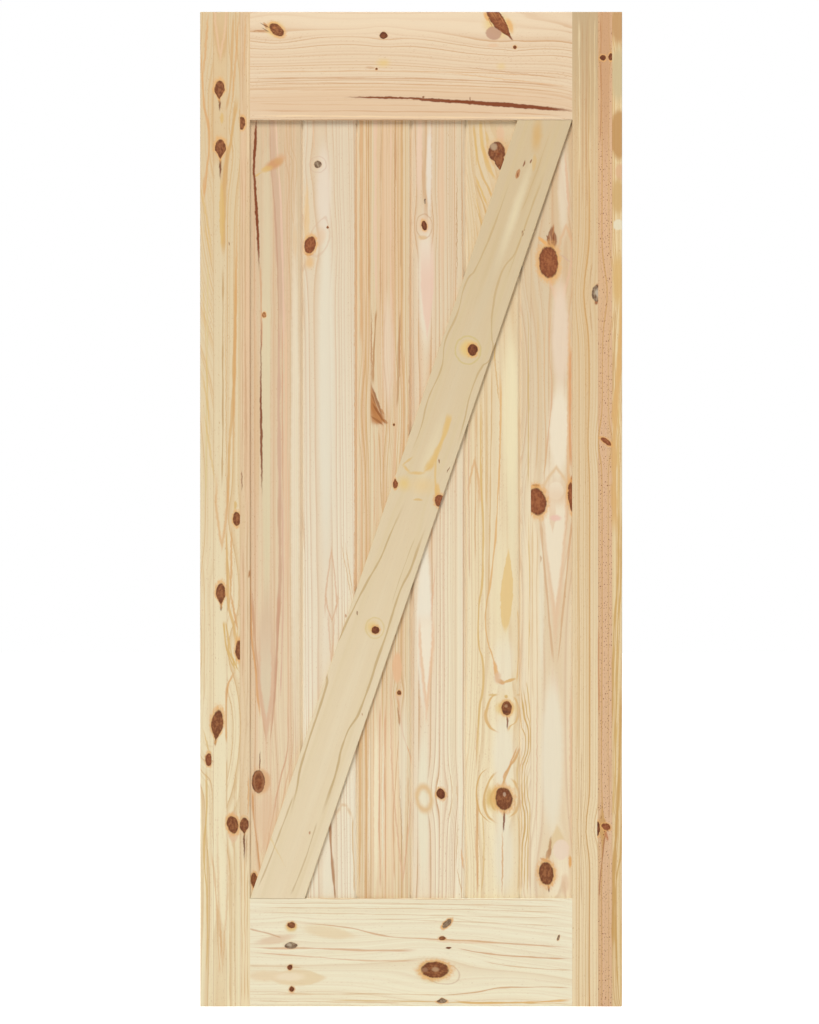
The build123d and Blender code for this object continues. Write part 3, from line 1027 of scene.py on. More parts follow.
# %% Top rail: lines and stains
marks = [
    mark(0, 2120, 1100, 120, shade(232, 210, 178), 0.7, soft=0.7),
    mark(0, 1966, 1100, 44, shade(226, 198, 162), 0.5, soft=0.8),
    mark(0, 1935, 1100, 90, shade(220, 188, 152), 0.75, soft=0.5),
    mark(-60, 2024, 46, 30, RESIN, 0.7, soft=1.0), mark(-88, 2014, 26, 8, SMUDGE, 0.35),
    mark(-292, 2097, 52, 44, RESIN, 0.8), streak(-342, 2092, -306, 2093, 4, SMUDGE),
    grain([(-350, 1990), (0, 1990), (350, 1966)], 4, shade(198, 152, 112), 0.75),
    grain([(-350, 1980), (0, 1978), (350, 1956)], 3, shade(204, 158, 116), 0.7),
    grain([(-350, 1967), (0, 1964), (350, 1942)], 3, shade(206, 160, 120), 0.55),
    grain([(-350, 1921), (0, 1920), (350, 1909)], 4, shade(204, 160, 120), 0.65),
    grain([(-350, 1936), (-100, 1934), (60, 1932)], 3, shade(208, 166, 126), 0.5),
    grain([(-350, 1911), (350, 1906)], 4, shade(238, 208, 166), 0.8),
    grain([(-350, 2004), (0, 2006), (350, 1984)], 3, shade(208, 160, 112), 0.6),
    mark(193, 2017, 30, 26, RESIN, 0.5, soft=1.0), mark(188, 2104, 84, 66, RESIN, 0.8, turn=20),
    mark(163, 2124, 16, 30, GLOW, 0.9, turn=-30), mark(212, 2104, 16, 44, GLOW, 0.7, turn=-20),
    mark(176, 2062, 30, 12, PINK, 0.9), mark(177, 2088, 38, 32, shade(188, 146, 120), 0.9, soft=0.2),
    streak(205, 2088, 219, 2072, 6, STREAK), streak(-140, 1951, 40, 1948, 7, STREAK, 0.95, soft=0.6),
    streak(-20, 1949, 140, 1940, 9, STREAK, 0.95), streak(60, 1946, 346, 1921, 12, STREAK, 0.98, soft=0.4),
    mark(26, 1951, 7, 6, STREAK, 0.8), mark(126, 1946, 3, 14, STREAK, 0.7),
    streak(100, 2016, 350, 1988, 4, SMUDGE, 0.35), streak(60, 2004, 350, 1972, 4, ORANGE, 0.4),
]
print(len(marks), "lines and stains")

# %% Top rail: its wood
dress("top_rail", board(
    shade(226, 203, 171), shade(226, 203, 171), PINK_LATE, 4.1, grain_turn=LEVEL, ring=6.0,
    band=shade(222, 192, 156), bands=0.4, contrast=1.0, knots=knots, marks=marks, over=over,
    hearts=[
        [(-350, -2150, 60), (0, -2154, 60), (350, -2128, 60)],
    ],
))

# %% [markdown]
# ## Bottom rail
#
# The bottom rail is the palest board of the door, with knots in two upright rows where whorls of branches
# grew. Strong rings would make it look older than it is, so the contrast of the rings is low and a few
# thin lines are laid over them one by one. Each knot parts those rings sideways as it does in a real board.

# %% Bottom rail: knots
knots = [
    knot(-257, 175, 16, 13, swirl=0.7), knot(-258, 131, 28, 14, kind="grey", swirl=0.7, glow=0.2),
    knot(-260, 85, 11, 11, kind="dark", swirl=0.6), knot(-256, 38, 11, 11, kind="dark", swirl=0.6),
    knot(77, 178, 26, 12, kind="grey", turn=-45, glow=0.9, swirl=0.6), knot(67, 147, 15, 8, swirl=0.6),
    knot(80, 126, 14, 4, kind="dark", swirl=0.3, glow=0.3), knot(51, 79, 60, 35, swirl=0.9),
    knot(66, 13, 22, 11, kind="grey", point=-2.0, swirl=0.5),
    knot(316, 148, 5, 12, kind="grey", turn=20, swirl=0.3),
]
over = [
    mark(52, 80, 22, 13, shade(186, 150, 112), 0.75), mark(29, 79, 20, 14, shade(158, 118, 88), 0.7),
    mark(-262, 133, 16, 8, shade(196, 180, 156), 0.6),
]
print(len(knots), "knots")

# %% Bottom rail: lines and stains
marks = [
    mark(-257, 170, 34, 26, RESIN, 0.8), mark(-256, 36, 22, 20, PINK, 0.7),
    mark(48, 76, 88, 60, RESIN, 0.7), hoop(66, 72, 76, 46, 2, SMUDGE, 0.35, turn=12),
    streak(70, 96, 34, 82, 8, shade(176, 140, 108), 0.8),
    mark(-176, 160, 34, 150, shade(229, 206, 164), 0.65, turn=-82, soft=0.5, point=1.0),
    mark(-292, 144, 24, 110, shade(222, 192, 158), 0.7, turn=80),
    mark(-240, 62, 40, 130, shade(227, 202, 158), 0.7, turn=90, soft=0.25, point=-1.0),
    mark(-310, 66, 120, 32, shade(229, 204, 164), 0.7), mark(-262, 64, 90, 24, shade(238, 222, 192), 0.9),
    mark(110, 140, 190, 12, shade(230, 202, 166), 0.7, turn=2),
    grain([(-350, 232), (0, 231), (350, 226)], 3, TAN, 0.7),
    grain([(-350, 222), (-60, 221), (350, 213)], 3, TAN, 0.6),
    grain([(-350, 212), (0, 210), (350, 201)], 3, TAN, 0.6),
    grain([(-350, 203), (-180, 200), (40, 196), (350, 189)], 3, TAN, 0.5),
    grain([(-100, 188), (120, 182), (350, 170)], 3, TAN, 0.5),
    grain([(-250, 180), (-140, 170), (-40, 150), (60, 145), (350, 126)], 4, shade(212, 168, 124), 0.8),
    grain([(-350, 168), (-310, 158), (-276, 147)], 4, shade(206, 160, 120), 0.7),
    grain([(-350, 127), (-180, 124), (-60, 120), (20, 126)], 5, shade(212, 166, 126), 0.75),
    grain([(-350, 117), (-220, 108), (-120, 100), (30, 98)], 4, shade(216, 174, 132), 0.75),
    grain([(90, 126), (180, 112), (260, 106), (350, 103)], 4, shade(208, 160, 114), 0.8),
    grain([(150, 98), (240, 84), (350, 78)], 3, TAN, 0.7), grain([(-350, 88), (-230, 84)], 3, TAN, 0.5),
    grain([(60, 24), (130, 30), (220, 42), (350, 40)], 4, shade(206, 162, 112), 0.8),
    grain([(-350, 26), (-100, 27), (90, 22)], 3, TAN, 0.7),
    grain([(85, 25), (122, 9), (200, 8), (350, 16)], 6, shade(222, 174, 106), 0.85),
    grain([(-200, 14), (60, 10), (350, 6)], 3, GOLD, 0.7), grain([(-350, 12), (0, 8)], 3, TAN, 0.6),
]
print(len(marks), "lines and stains")

# %% Bottom rail: its wood
dress("bottom_rail", board(
    shade(240, 232, 204), shade(240, 232, 204), ORANGE_LATE, 5.3, grain_turn=LEVEL, ring=9.0, bands=0.15,
    stripes=0.1, contrast=0.3, pores=0.5, knots=knots, marks=marks, over=over,
    hearts=[
        [(-350, 300, 60), (0, 303, 60), (350, 332, 60)],
    ],
))

# %% [markdown]
# ## Plank 1
#
# The planks are numbered from the left. Each is a plain-sawn strip, with its lines closer on one side than
# on the other. Plank 1 has three brown resin pockets in line, a broken stripe of pink heartwood, and a
# long V near the foot. The V is a `tongue`: a figure that could come from a rising heart, but that is
# easier to put in its place as a mark.

# %% Plank 1: knots
knots = [
    knot(-316, 1484, 9, 11, kind="tan"), knot(-328, 482, 29, 50, swirl=0.3, glow=0.25),
    knot(-337, 270, 15, 34, point=0.8),
]
over = [
    mark(-326, 477, 14, 26, STREAK, 0.45), hoop(-327, 482, 20, 40, 3, shade(176, 124, 84), 0.5),
]
print(len(knots), "knots")

# %% Plank 1: lines and stains
marks = [
    mark(-311, 1300, 26, 1300, OLIVE, 0.75, soft=0.5), mark(-331, 1250, 16, 500, TAN, 0.35),
    grain([(-302, 1960), (-294, 1800), (-286, 1700), (-281, 1600), (-277, 1440)], 22, shade(203, 168, 140),
        0.75),
    grain([(-294, 1960), (-286, 1820), (-279, 1700), (-275, 1560), (-273, 1400)], 6, shade(224, 190, 162),
        0.8),
    grain([(-306, 1940), (-300, 1800), (-290, 1660), (-285, 1500), (-286, 1380)], 4, shade(196, 154, 124),
        0.8),
    grain([(-267, 1960), (-264, 1836), (-254, 1808), (-258, 1746), (-250, 1660), (-246, 1540)], 3,
        shade(206, 170, 128), 0.8),
    grain([(-260, 1960), (-257, 1850), (-246, 1800), (-250, 1730), (-243, 1640)], 3, shade(206, 170, 128),
        0.7),
    grain([(-274, 1900), (-270, 1820), (-262, 1770), (-266, 1700), (-260, 1560), (-254, 1440)], 3,
        shade(206, 168, 128), 0.7),
    grain([(-280, 1480), (-284, 1350), (-283, 1200), (-281, 1040)], 9, shade(204, 164, 138), 0.8),
    grain([(-276, 1480), (-276, 1300), (-274, 1067)], 3, shade(208, 150, 120), 0.7),
    grain([(-283, 1120), (-282, 908), (-288, 802), (-293, 696), (-300, 620)], 9, shade(202, 162, 132),
        0.85),
    grain([(-276, 1120), (-275, 900), (-277, 760), (-282, 650)], 4, shade(214, 172, 146), 0.8),
    grain([(-262, 1200), (-264, 900), (-261, 600)], 4, shade(218, 178, 142), 0.7),
    grain([(-268, 1480), (-268, 1200), (-266, 900)], 4, PINK, 0.8),
    grain([(-244, 1400), (-246, 1000), (-243, 600)], 4, shade(214, 182, 130), 0.6),
    grain([(-346, 960), (-344, 828), (-334, 722), (-324, 610)], 8, shade(216, 160, 104), 0.85),
    grain([(-340, 860), (-336, 760), (-327, 690)], 3, shade(196, 146, 96), 0.7),
    grain([(-265, 660), (-266, 548), (-279, 496), (-294, 420), (-305, 362), (-318, 290)], 4,
        shade(212, 164, 130), 0.85),
    grain([(-341, 470), (-336, 393), (-328, 330), (-323, 280)], 5, shade(206, 150, 96), 0.9),
    grain([(-252, 640), (-254, 560), (-270, 470), (-286, 400)], 3, shade(216, 176, 138), 0.7),
    grain([(-350, 1880), (-349, 1600), (-350, 1300)], 6, shade(226, 192, 136), 0.7),
    grain([(-324, 1600), (-322, 1500), (-321, 1400)], 5, shade(206, 152, 112), 0.7),
    mark(-270, 1200, 9, 1100, PINK, 0.6),
]
print(len(marks), "lines and stains")

# %% Plank 1: more lines and stains
marks += [
    mark(-249, 1150, 24, 1500, CREAM, 0.6), mark(-310, 1660, 34, 460, shade(214, 194, 160), 0.6),
    mark(-294, 1808, 60, 30, shade(204, 150, 102), 0.95, turn=-28, soft=0.7),
    mark(-278, 1822, 30, 26, shade(212, 166, 124), 0.8, soft=0.9),
    grain([(-336, 1780), (-322, 1790)], 10, GOLD, 0.8), mark(-310, 1797, 34, 18, GOLD, 0.8, turn=-20),
    mark(-284, 1814, 26, 20, shade(206, 158, 104), 0.7), streak(-332, 1910, -338, 1775, 8, STREAK, 0.98),
    streak(-338, 1830, -326, 1580, 8, STREAK, 0.98), mark(-338, 1789, 7, 16, STREAK, 0.9),
    streak(-321, 1480, -321, 1240, 4, STREAK, 0.55), streak(-322, 1370, -320, 1100, 7, STREAK, 0.9),
    mark(-309, 760, 46, 360, shade(212, 184, 152), 0.7, soft=0.6),
    grain([(-342, 900), (-334, 780), (-321, 648), (-309, 556)], 7, shade(204, 158, 122), 0.8),
    grain([(-284, 900), (-287, 780), (-292, 683), (-303, 560)], 7, shade(202, 154, 122), 0.8),
    tongue(-311, 557, 42, 130, shade(216, 178, 146), 0.9, fade_out=1.5),
    tongue(-311, 607, 28, 90, shade(218, 200, 168), 0.95, fade_out=2.0),
    streak(-324, 548, -325, 500, 4, STREAK, 0.8),
    mark(-320, 482, 44, 62, shade(216, 172, 128), 0.9, soft=0.35), mark(-310, 400, 60, 180, PINK, 0.6),
    tongue(-322, 330, 44, 110, PINK, 0.5, line=3), mark(-249, 1640, 14, 90, TAN, 0.35),
]
print(len(marks), "lines and stains")

# %% Plank 1: its wood
dress("plank_1", board(
    shade(208, 184, 149), shade(234, 216, 181), PINK_LATE, 6.7, band=shade(220, 182, 146), bands=0.4,
    contrast=0.8, stripes=0.6, ring=6.0, knots=knots, marks=marks, over=over,
    hearts=[
        [(200, -440, 40), (1905, -440, 50)],
    ],
))

# %% [markdown]
# ## Plank 2
#
# Plank 2 is nearly white sapwood with faint rings, so its bands and stripes are kept low. A small red
# knot has a pear-shaped ring around it, drawn as a thin `hoop`.

# %% Plank 2: knots
knots = [
    knot(-200, 1807, 16, 16, kind="grey", glow=0.2),
    knot(-217, 1634, 25, 38, kind="red", turn=15, swirl=0.8), knot(-179, 1672, 5, 6, swirl=0, glow=0.5),
]
print(len(knots), "knots")

# %% Plank 2: lines and stains
marks = [
    mark(-182, 1350, 46, 1100, shade(226, 217, 194), 0.75),
    mark(-187, 1750, 44, 260, shade(226, 210, 190), 0.7),
    mark(-224, 1690, 16, 200, shade(224, 188, 136), 0.7), hoop(-200, 1807, 36, 34, 2, MAUVE, 0.5),
    mark(-218, 1597, 30, 42, shade(222, 182, 130), 0.9, soft=0.8),
    mark(-196, 1650, 34, 56, PINK, 0.5, turn=20),
    hoop(-196, 1652, 42, 86, 3, shade(210, 176, 146), 0.5, turn=16, point=-1.0),
    mark(-220, 1614, 20, 8, SMUDGE, 0.8), mark(-118, 1200, 10, 1800, ORANGE, 0.75, soft=0.4),
    streak(-213, 1905, -206, 1830, 3, PINK, 0.8),
    tongue(-172, 976, 24, -110, shade(214, 172, 136), 0.75, line=3, fade_out=0.35),
    tongue(-170, 828, 24, 45, shade(214, 172, 136), 0.75, line=3, fade_out=0.4),
    tongue(-171, 742, 12, 80, shade(214, 172, 136), 0.6, line=3, fade_out=0.4),
    mark(-140, 838, 5, 12, SMUDGE, 0.7),
    grain([(-175, 404), (-172, 350), (-168, 290), (-163, 222)], 8, shade(174, 122, 76), 0.85),
    streak(-162, 408, -149, 434, 11, TAN, 0.6, soft=1.0),
    streak(-155, 433, -134, 431, 11, TAN, 0.6, soft=1.0),
    streak(-140, 434, -126, 402, 11, TAN, 0.6, soft=1.0),
    grain([(-126, 412), (-124, 330), (-122, 240)], 4, TAN, 0.8), mark(-180, 270, 22, 120, CREAM, 0.8),
    streak(-152, 1000, -124, 860, 3, TAN, 0.7), streak(-143, 1000, -122, 870, 3, TAN, 0.7),
]
print(len(marks), "lines and stains")

# %% Plank 2: its wood
dress("plank_2", board(
    shade(219, 202, 174), shade(241, 233, 209), PINK_LATE, 7.9, ring=5.2, bands=0.15, stripes=0.15,
    knots=knots, marks=marks,
    hearts=[
        [(200, -178, 28), (1905, -196, 30)],
    ],
))

# %% [markdown]
# ## Plank 3
#
# Two staves meet in plank 3, and a bark pocket in the shape of a feather ends at their glue line. The
# feather could be one brown patch, but its frayed look needs several narrow streaks that fan out from one
# point and are all cut off at the glue line. The plank's close stripes are lines of different widths and
# tints, since stripes from noise alone come out too even.

# %% Plank 3: knots
knots = [
    knot(-37, 1248, 5, 6, kind="dark", swirl=0.4), knot(-26, 673, 9, 11, swirl=0.8),
]
swirls = [
    knot(-80, 1280, 26, 50, swirl=0.5),
]
print(len(knots), "knots")

# %% Plank 3: lines and stains
marks = [
    mark(-55, 430, 120, 560, shade(242, 218, 180), 0.5, soft=0.6),
    streak(-87, 1340, -82, 1246, 16, shade(190, 134, 84), 0.9, cut=(-87, None)),
    streak(-86, 1320, -72, 1244, 20, shade(184, 126, 74), 0.9, cut=(-87, None)),
    streak(-85, 1300, -62, 1246, 18, shade(180, 118, 64), 0.9, cut=(-87, None)),
    mark(-70, 1262, 40, 30, shade(184, 124, 70), 0.85, turn=-20, cut=(-87, None)),
    streak(-86, 1334, -60, 1262, 7, shade(150, 96, 52), 0.85, cut=(-87, None)),
    streak(-84, 1296, -54, 1248, 6, shade(148, 88, 44), 0.85, cut=(-87, None)),
    streak(-88, 1268, -58, 1246, 6, shade(156, 98, 54), 0.8, cut=(-87, None)),
    streak(-86, 1316, -76, 1290, 5, shade(160, 106, 62), 0.8),
    streak(-62, 1262, -50, 1250, 9, shade(170, 106, 50), 0.8),
    streak(-66, 1284, -58, 1270, 6, shade(176, 116, 60), 0.7),
    grain([(-108, 1960), (-108, 1700), (-107, 1400)], 8, shade(210, 160, 108), 0.7),
    grain([(-92, 1960), (-91, 1750), (-90, 1500)], 4, shade(196, 148, 98), 0.8),
    grain([(-99, 1960), (-98, 1700), (-99, 1480)], 4, shade(226, 196, 158), 0.8),
    grain([(-76, 1960), (-77, 1750), (-74, 1500)], 10, shade(224, 190, 160), 0.8),
    grain([(-64, 1960), (-65, 1700), (-66, 1480)], 4, shade(194, 148, 104), 0.7),
    grain([(-51, 1960), (-52, 1700), (-50, 1500)], 3, shade(196, 158, 116), 0.8),
    grain([(-43, 1960), (-44, 1700), (-42, 1460)], 6, shade(224, 190, 158), 0.8),
    grain([(-33, 1960), (-34, 1850), (-32, 1760)], 5, shade(196, 148, 100), 0.7),
    grain([(-18, 1960), (-20, 1720), (-17, 1500)], 5, shade(200, 156, 108), 0.7),
    grain([(2, 1960), (1, 1600), (2, 1200)], 8, shade(206, 156, 100), 0.7),
    grain([(-22, 1700), (-21, 1640), (-23, 1580)], 4, shade(180, 130, 86), 0.8),
    grain([(-74, 1500), (-78, 1440), (-82, 1330)], 5, shade(184, 134, 84), 0.85),
    grain([(-52, 1500), (-58, 1400), (-54, 1330), (-52, 1250)], 4, shade(198, 152, 102), 0.8),
    grain([(-46, 1500), (-42, 1380), (-47, 1300), (-44, 1180)], 4, shade(212, 172, 130), 0.8),
    grain([(-22, 1500), (-26, 1420), (-28, 1330), (-30, 1280)], 6, shade(184, 138, 92), 0.75),
    grain([(-14, 1420), (-16, 1260), (-13, 1100)], 4, shade(214, 170, 122), 0.8),
    grain([(-98, 1440), (-96, 1240), (-104, 1050)], 4, shade(208, 164, 110), 0.7),
]
print(len(marks), "lines and stains")

# %% Plank 3: more lines and stains
marks += [
    grain([(-70, 1240), (-66, 1170), (-64, 1060)], 4, shade(200, 156, 106), 0.8),
    grain([(-82, 1240), (-78, 1140), (-80, 1020)], 3, shade(214, 170, 130), 0.8),
    grain([(-112, 700), (-110, 500), (-112, 236)], 8, shade(216, 172, 116), 0.7),
    grain([(-98, 640), (-96, 450), (-100, 230)], 5, shade(214, 168, 112), 0.7),
    grain([(-66, 660), (-68, 450), (-64, 240)], 5, shade(214, 164, 128), 0.8),
    grain([(-55, 660), (-56, 450), (-53, 240)], 4, shade(216, 164, 124), 0.8),
    grain([(-30, 680), (-19, 595), (2, 516), (8, 430)], 5, shade(212, 154, 106), 0.8),
    grain([(-24, 600), (-32, 500), (-38, 380), (-34, 260)], 4, shade(214, 168, 126), 0.8),
    grain([(-6, 500), (-8, 380), (-14, 290)], 3, shade(200, 150, 104), 0.8),
    grain([(-26, 500), (-20, 400), (-22, 300)], 3, shade(190, 150, 104), 0.7),
    mark(-55, 1720, 26, 700, PINK, 0.6), mark(-36, 1740, 4, 420, SMUDGE, 0.4),
    mark(-22, 1690, 10, 560, TAN, 0.5), mark(-2, 1300, 9, 1300, shade(206, 154, 104), 0.6),
    streak(-86, 1500, -85, 1320, 4, SMUDGE, 0.8), mark(-50, 1400, 34, 330, shade(228, 204, 178), 0.6),
    streak(-25, 1490, -27, 1320, 4, shade(190, 140, 92), 0.75), mark(-3, 1340, 3, 110, SMUDGE, 0.5),
    mark(-30, 726, 24, 76, shade(226, 182, 140), 0.9, soft=0.3), mark(-28, 668, 20, 30, PINK, 0.8),
    tongue(-18, 272, 52, 300, shade(220, 176, 140), 0.75, line=3),
    tongue(-18, 300, 22, 260, CREAM, 0.6, fade_out=0.6), streak(-29, 645, -24, 600, 5, SMUDGE, 0.8),
    streak(-25, 500, -20, 340, 3, SMUDGE, 0.4),
    mark(-75, 430, 12, 440, shade(240, 226, 192), 0.9, soft=0.5), mark(-61, 430, 5, 420, CREAM, 0.8),
    mark(-46, 450, 6, 420, shade(236, 214, 180), 0.8), mark(-90, 430, 5, 440, CREAM, 0.7),
]
print(len(marks), "lines and stains")

# %% Plank 3: its wood
dress("plank_3", board(
    shade(216, 189, 154), shade(245, 229, 195), ORANGE_LATE, 8.1, glue_lines=[-87],
    stave_tints=[(OLIVE, 0.5), None], ring=4.6, stripes=0.9, band=shade(216, 172, 130), bands=0.6,
    contrast=1.1, knots=knots, marks=marks, swirls=swirls,
    hearts=[
        [(0, -220, 60)], [(0, 90, 80)],
    ],
))

# %% [markdown]
# ## Plank 4
#
# Plank 4 shows its heart: the rings form nested tongues up the middle, pale inside and edged in pink. Its
# own heart is only 26 mm behind the face, and pale tongues laid over the rings make the clear middle.

# %% Plank 4: knots
knots = [
    knot(28, 1676, 12, 21, kind="dark", swirl=0.8, turn=-12),
    knot(30, 1728, 4, 12, kind="grey", glow=0, swirl=0.5),
    knot(64, 456, 19, 23, kind="dark", turn=-18, swirl=0.8),
]
print(len(knots), "knots")

# %% Plank 4: lines and stains
marks = [
    mark(18, 1830, 18, 240, shade(226, 196, 168), 0.9), mark(40, 1800, 16, 260, shade(226, 214, 196), 0.8),
    mark(66, 1750, 22, 500, PINK, 0.6), mark(30, 1560, 44, 360, shade(229, 217, 194), 0.9),
    streak(100, 1800, 97, 1540, 3, shade(186, 140, 92), 0.7), mark(109, 1720, 3, 340, SMUDGE, 0.4),
    mark(28, 1676, 36, 50, PINK, 0.7), hoop(28, 1674, 34, 52, 2, SMUDGE, 0.4),
    mark(25, 1650, 26, 14, TAN, 0.8), tongue(34, 1420, 36, 130, shade(226, 190, 166), 0.8),
    streak(53, 960, 26, 690, 5, shade(222, 178, 142), 0.7),
    mark(28, 820, 34, 420, shade(234, 224, 202), 0.95, soft=0.35),
    tongue(33, 590, 38, 200, shade(228, 190, 152), 0.85, fade_out=0.3),
    tongue(33, 646, 26, 160, shade(237, 225, 200), 0.95, fade_out=0.3),
    mark(26, 430, 36, 440, shade(234, 226, 198), 0.8), mark(64, 456, 32, 36, PINK, 0.6),
    hoop(28, 446, 30, 50, 9, shade(224, 190, 142), 0.95, turn=-8), streak(84, 500, 90, 450, 3, TAN, 0.7),
    streak(90, 455, 82, 400, 3, TAN, 0.7), streak(96, 480, 100, 445, 3, TAN, 0.6),
    streak(107, 340, 113, 290, 5, shade(222, 176, 128), 0.8), streak(100, 400, 97, 300, 3, TAN, 0.7),
    streak(98, 300, 110, 236, 3, TAN, 0.8), mark(90, 760, 40, 900, shade(232, 218, 182), 0.4),
]
print(len(marks), "lines and stains")

# %% Plank 4: its wood
dress("plank_4", board(
    shade(214, 194, 161), shade(244, 235, 208), PINK_LATE, 9.4, ring=4.4, band=shade(224, 190, 154),
    bands=0.35, stripes=0.5, contrast=1.2, knots=knots, marks=marks,
    hearts=[
        [(200, 22, 26), (900, 30, 28), (1905, 26, 26)],
    ],
))

# %% [markdown]
# ## Plank 5
#
# Plank 5 has the loveliest figure of the door. Grain flows round a knot behind the brace, a flame-shaped
# patch stands at mid-height, and near the foot two knots sit in golden rings. Rings round a knot could be
# closed hoops, but real ones are open where the branch left the trunk, so they are C-shaped grain lines.

# %% Plank 5: knots
knots = [
    knot(184, 1834, 37, 44, glow=0.4, swirl=0.8), knot(190, 1812, 22, 36, point=2.0, glow=0.0, swirl=0),
    knot(205, 640, 23, 31, swirl=0.8), knot(199, 446, 37, 50, swirl=0.8, turn=-8),
]
over = [
    mark(177, 1845, 20, 20, shade(182, 154, 122), 0.85, soft=0.5), mark(187, 1829, 10, 9, STREAK, 0.7),
    mark(204, 645, 10, 10, shade(186, 150, 110), 0.6), mark(200, 455, 8, 12, shade(196, 168, 140), 0.7),
    mark(203, 632, 18, 8, BARK, 0.6),
]
print(len(knots), "knots")

# %% Plank 5: lines and stains
marks = [
    mark(198, 330, 56, 260, CREAM, 0.8), mark(198, 540, 60, 220, CREAM, 0.8),
    mark(200, 740, 60, 160, CREAM, 0.6),
    grain([(150, 1905), (151, 1860), (158, 1825), (172, 1790), (184, 1770)], 12, shade(216, 178, 114),
        0.85),
    grain([(134, 1900), (140, 1835), (150, 1790), (168, 1750), (178, 1725)], 7, shade(210, 172, 112), 0.9),
    grain([(138, 1770), (148, 1740), (160, 1704), (165, 1670)], 5, shade(206, 168, 112), 0.9),
    grain([(136, 1725), (146, 1695), (156, 1655), (158, 1620)], 4, shade(208, 170, 116), 0.8),
    grain([(134, 1690), (142, 1660), (146, 1600)], 3, TAN, 0.7), streak(136, 1785, 165, 1715, 6, GOLD, 0.8),
    streak(138, 1880, 141, 1800, 5, GOLD, 0.6), streak(136, 1750, 156, 1660, 4, GOLD, 0.6),
    streak(160, 1880, 166, 1850, 8, GOLD, 0.6), streak(150, 1860, 165, 1805, 6, GOLD, 0.7),
    mark(192, 1870, 24, 60, shade(222, 180, 144), 0.6), streak(176, 1420, 189, 1290, 4, TAN, 0.9),
    mark(190, 1180, 4, 300, ORANGE, 0.6), mark(152, 1180, 3, 300, TAN, 0.8),
    mark(163, 1160, 3, 260, TAN, 0.8), tongue(136, 1170, 22, -60, ORANGE, 0.6, line=4),
    mark(216, 1150, 30, 600, shade(230, 216, 178), 0.8), mark(198, 900, 66, 330, shade(233, 217, 178), 0.6),
    mark(212, 1280, 50, 440, shade(234, 220, 180), 0.8),
    mark(206, 893, 29, 190, shade(226, 194, 134), 0.95, soft=0.2, point=-1.8, turn=2),
    grain([(190, 1380), (192, 1270), (190, 1180), (184, 1060), (179, 987), (167, 890), (160, 835),
        (164, 790), (175, 750), (182, 712), (184, 680)], 5, shade(220, 172, 112), 0.85),
    grain([(174, 1400), (172, 1250), (169, 1060), (166, 906), (158, 835), (152, 800)], 4,
        shade(210, 172, 122), 0.8),
    grain([(150, 1320), (150, 1150), (155, 1000), (152, 906), (144, 809), (147, 766), (155, 718),
        (148, 650), (143, 570), (142, 500)], 6, shade(216, 178, 112), 0.85),
    grain([(140, 1300), (138, 1100), (137, 950)], 4, shade(212, 170, 122), 0.8),
    grain([(163, 1330), (162, 1200), (161, 1067)], 3, TAN, 0.8),
    grain([(128, 1300), (124, 1150), (126, 900)], 4, shade(214, 174, 138), 0.8),
    grain([(176, 1480), (180, 1440), (176, 1380)], 4, GOLD, 0.7),
    grain([(224, 690), (229, 720), (231, 780), (228, 860)], 5, shade(222, 182, 122), 0.8),
]
print(len(marks), "lines and stains")

# %% Plank 5: more lines and stains
marks += [
    grain([(233, 900), (232, 1100), (230, 1300)], 5, TAN, 0.6), streak(184, 701, 202, 692, 14, ORANGE, 0.8),
    streak(196, 694, 226, 704, 8, shade(216, 172, 108), 0.9),
    streak(178, 745, 186, 692, 11, shade(222, 168, 106), 0.8),
    grain([(236, 560), (222, 530), (212, 515), (200, 488), (196, 470)], 8, shade(210, 160, 98), 0.85),
    grain([(232, 540), (230, 520), (228, 500), (232, 470)], 6, GOLD, 0.6),
    grain([(144, 460), (141, 360), (143, 240)], 6, ORANGE, 0.6),
    grain([(152, 420), (156, 330), (146, 240)], 4, GOLD, 0.6),
    grain([(226, 420), (232, 330), (228, 240)], 5, GOLD, 0.6), mark(186, 705, 20, 34, PINK, 0.8),
    mark(203, 640, 60, 44, RESIN, 0.9, soft=0.7),
    grain([(198, 674), (174, 664), (163, 640), (160, 622), (167, 602), (182, 590), (206, 585)], 9,
        shade(216, 172, 108), 0.85),
    grain([(208, 668), (226, 655), (230, 635), (225, 612), (212, 600), (207, 588)], 8, shade(218, 178, 118),
        0.8),
    mark(176, 668, 26, 8, GOLD, 0.7), mark(232, 668, 16, 7, GOLD, 0.6),
    streak(206, 628, 207, 594, 5, STREAK, 0.85), streak(230, 560, 204, 500, 5, ORANGE, 0.75),
    streak(204, 508, 196, 486, 4, ORANGE, 0.75), mark(180, 445, 56, 74, RESIN, 0.9, soft=0.7),
    mark(166, 450, 18, 60, GOLD, 0.5),
    grain([(198, 506), (176, 496), (162, 470), (157, 445), (160, 418), (173, 400), (198, 390)], 9,
        shade(214, 172, 108), 0.85),
    grain([(186, 516), (158, 506), (146, 490), (140, 462), (143, 430), (158, 404), (190, 390)], 5,
        shade(214, 170, 104), 0.85),
    grain([(192, 472), (178, 462), (171, 446), (174, 430), (188, 418)], 8, shade(218, 176, 110), 0.8),
    grain([(206, 492), (226, 474), (232, 450), (228, 425), (214, 408), (206, 402)], 8, shade(216, 174, 114),
        0.8),
    streak(200, 426, 198, 374, 6, STREAK, 0.9), streak(196, 380, 194, 232, 4, ORANGE, 0.7),
    mark(142, 330, 4, 260, ORANGE, 0.45), mark(140, 560, 4, 120, ORANGE, 0.4),
    streak(236, 760, 232, 690, 4, TAN, 0.7), mark(204, 665, 10, 10, GOLD, 0.9),
]
print(len(marks), "lines and stains")

# %% Plank 5: its wood
dress("plank_5", board(
    shade(217, 195, 158), shade(243, 230, 194), ORANGE_LATE, 10.6, stripes=0.2, bands=0.2, ring=6.5,
    contrast=0.5, knots=knots, marks=marks, over=over,
    hearts=[
        [(200, 214, 60), (1100, 224, 60), (1905, 204, 50)],
    ],
))

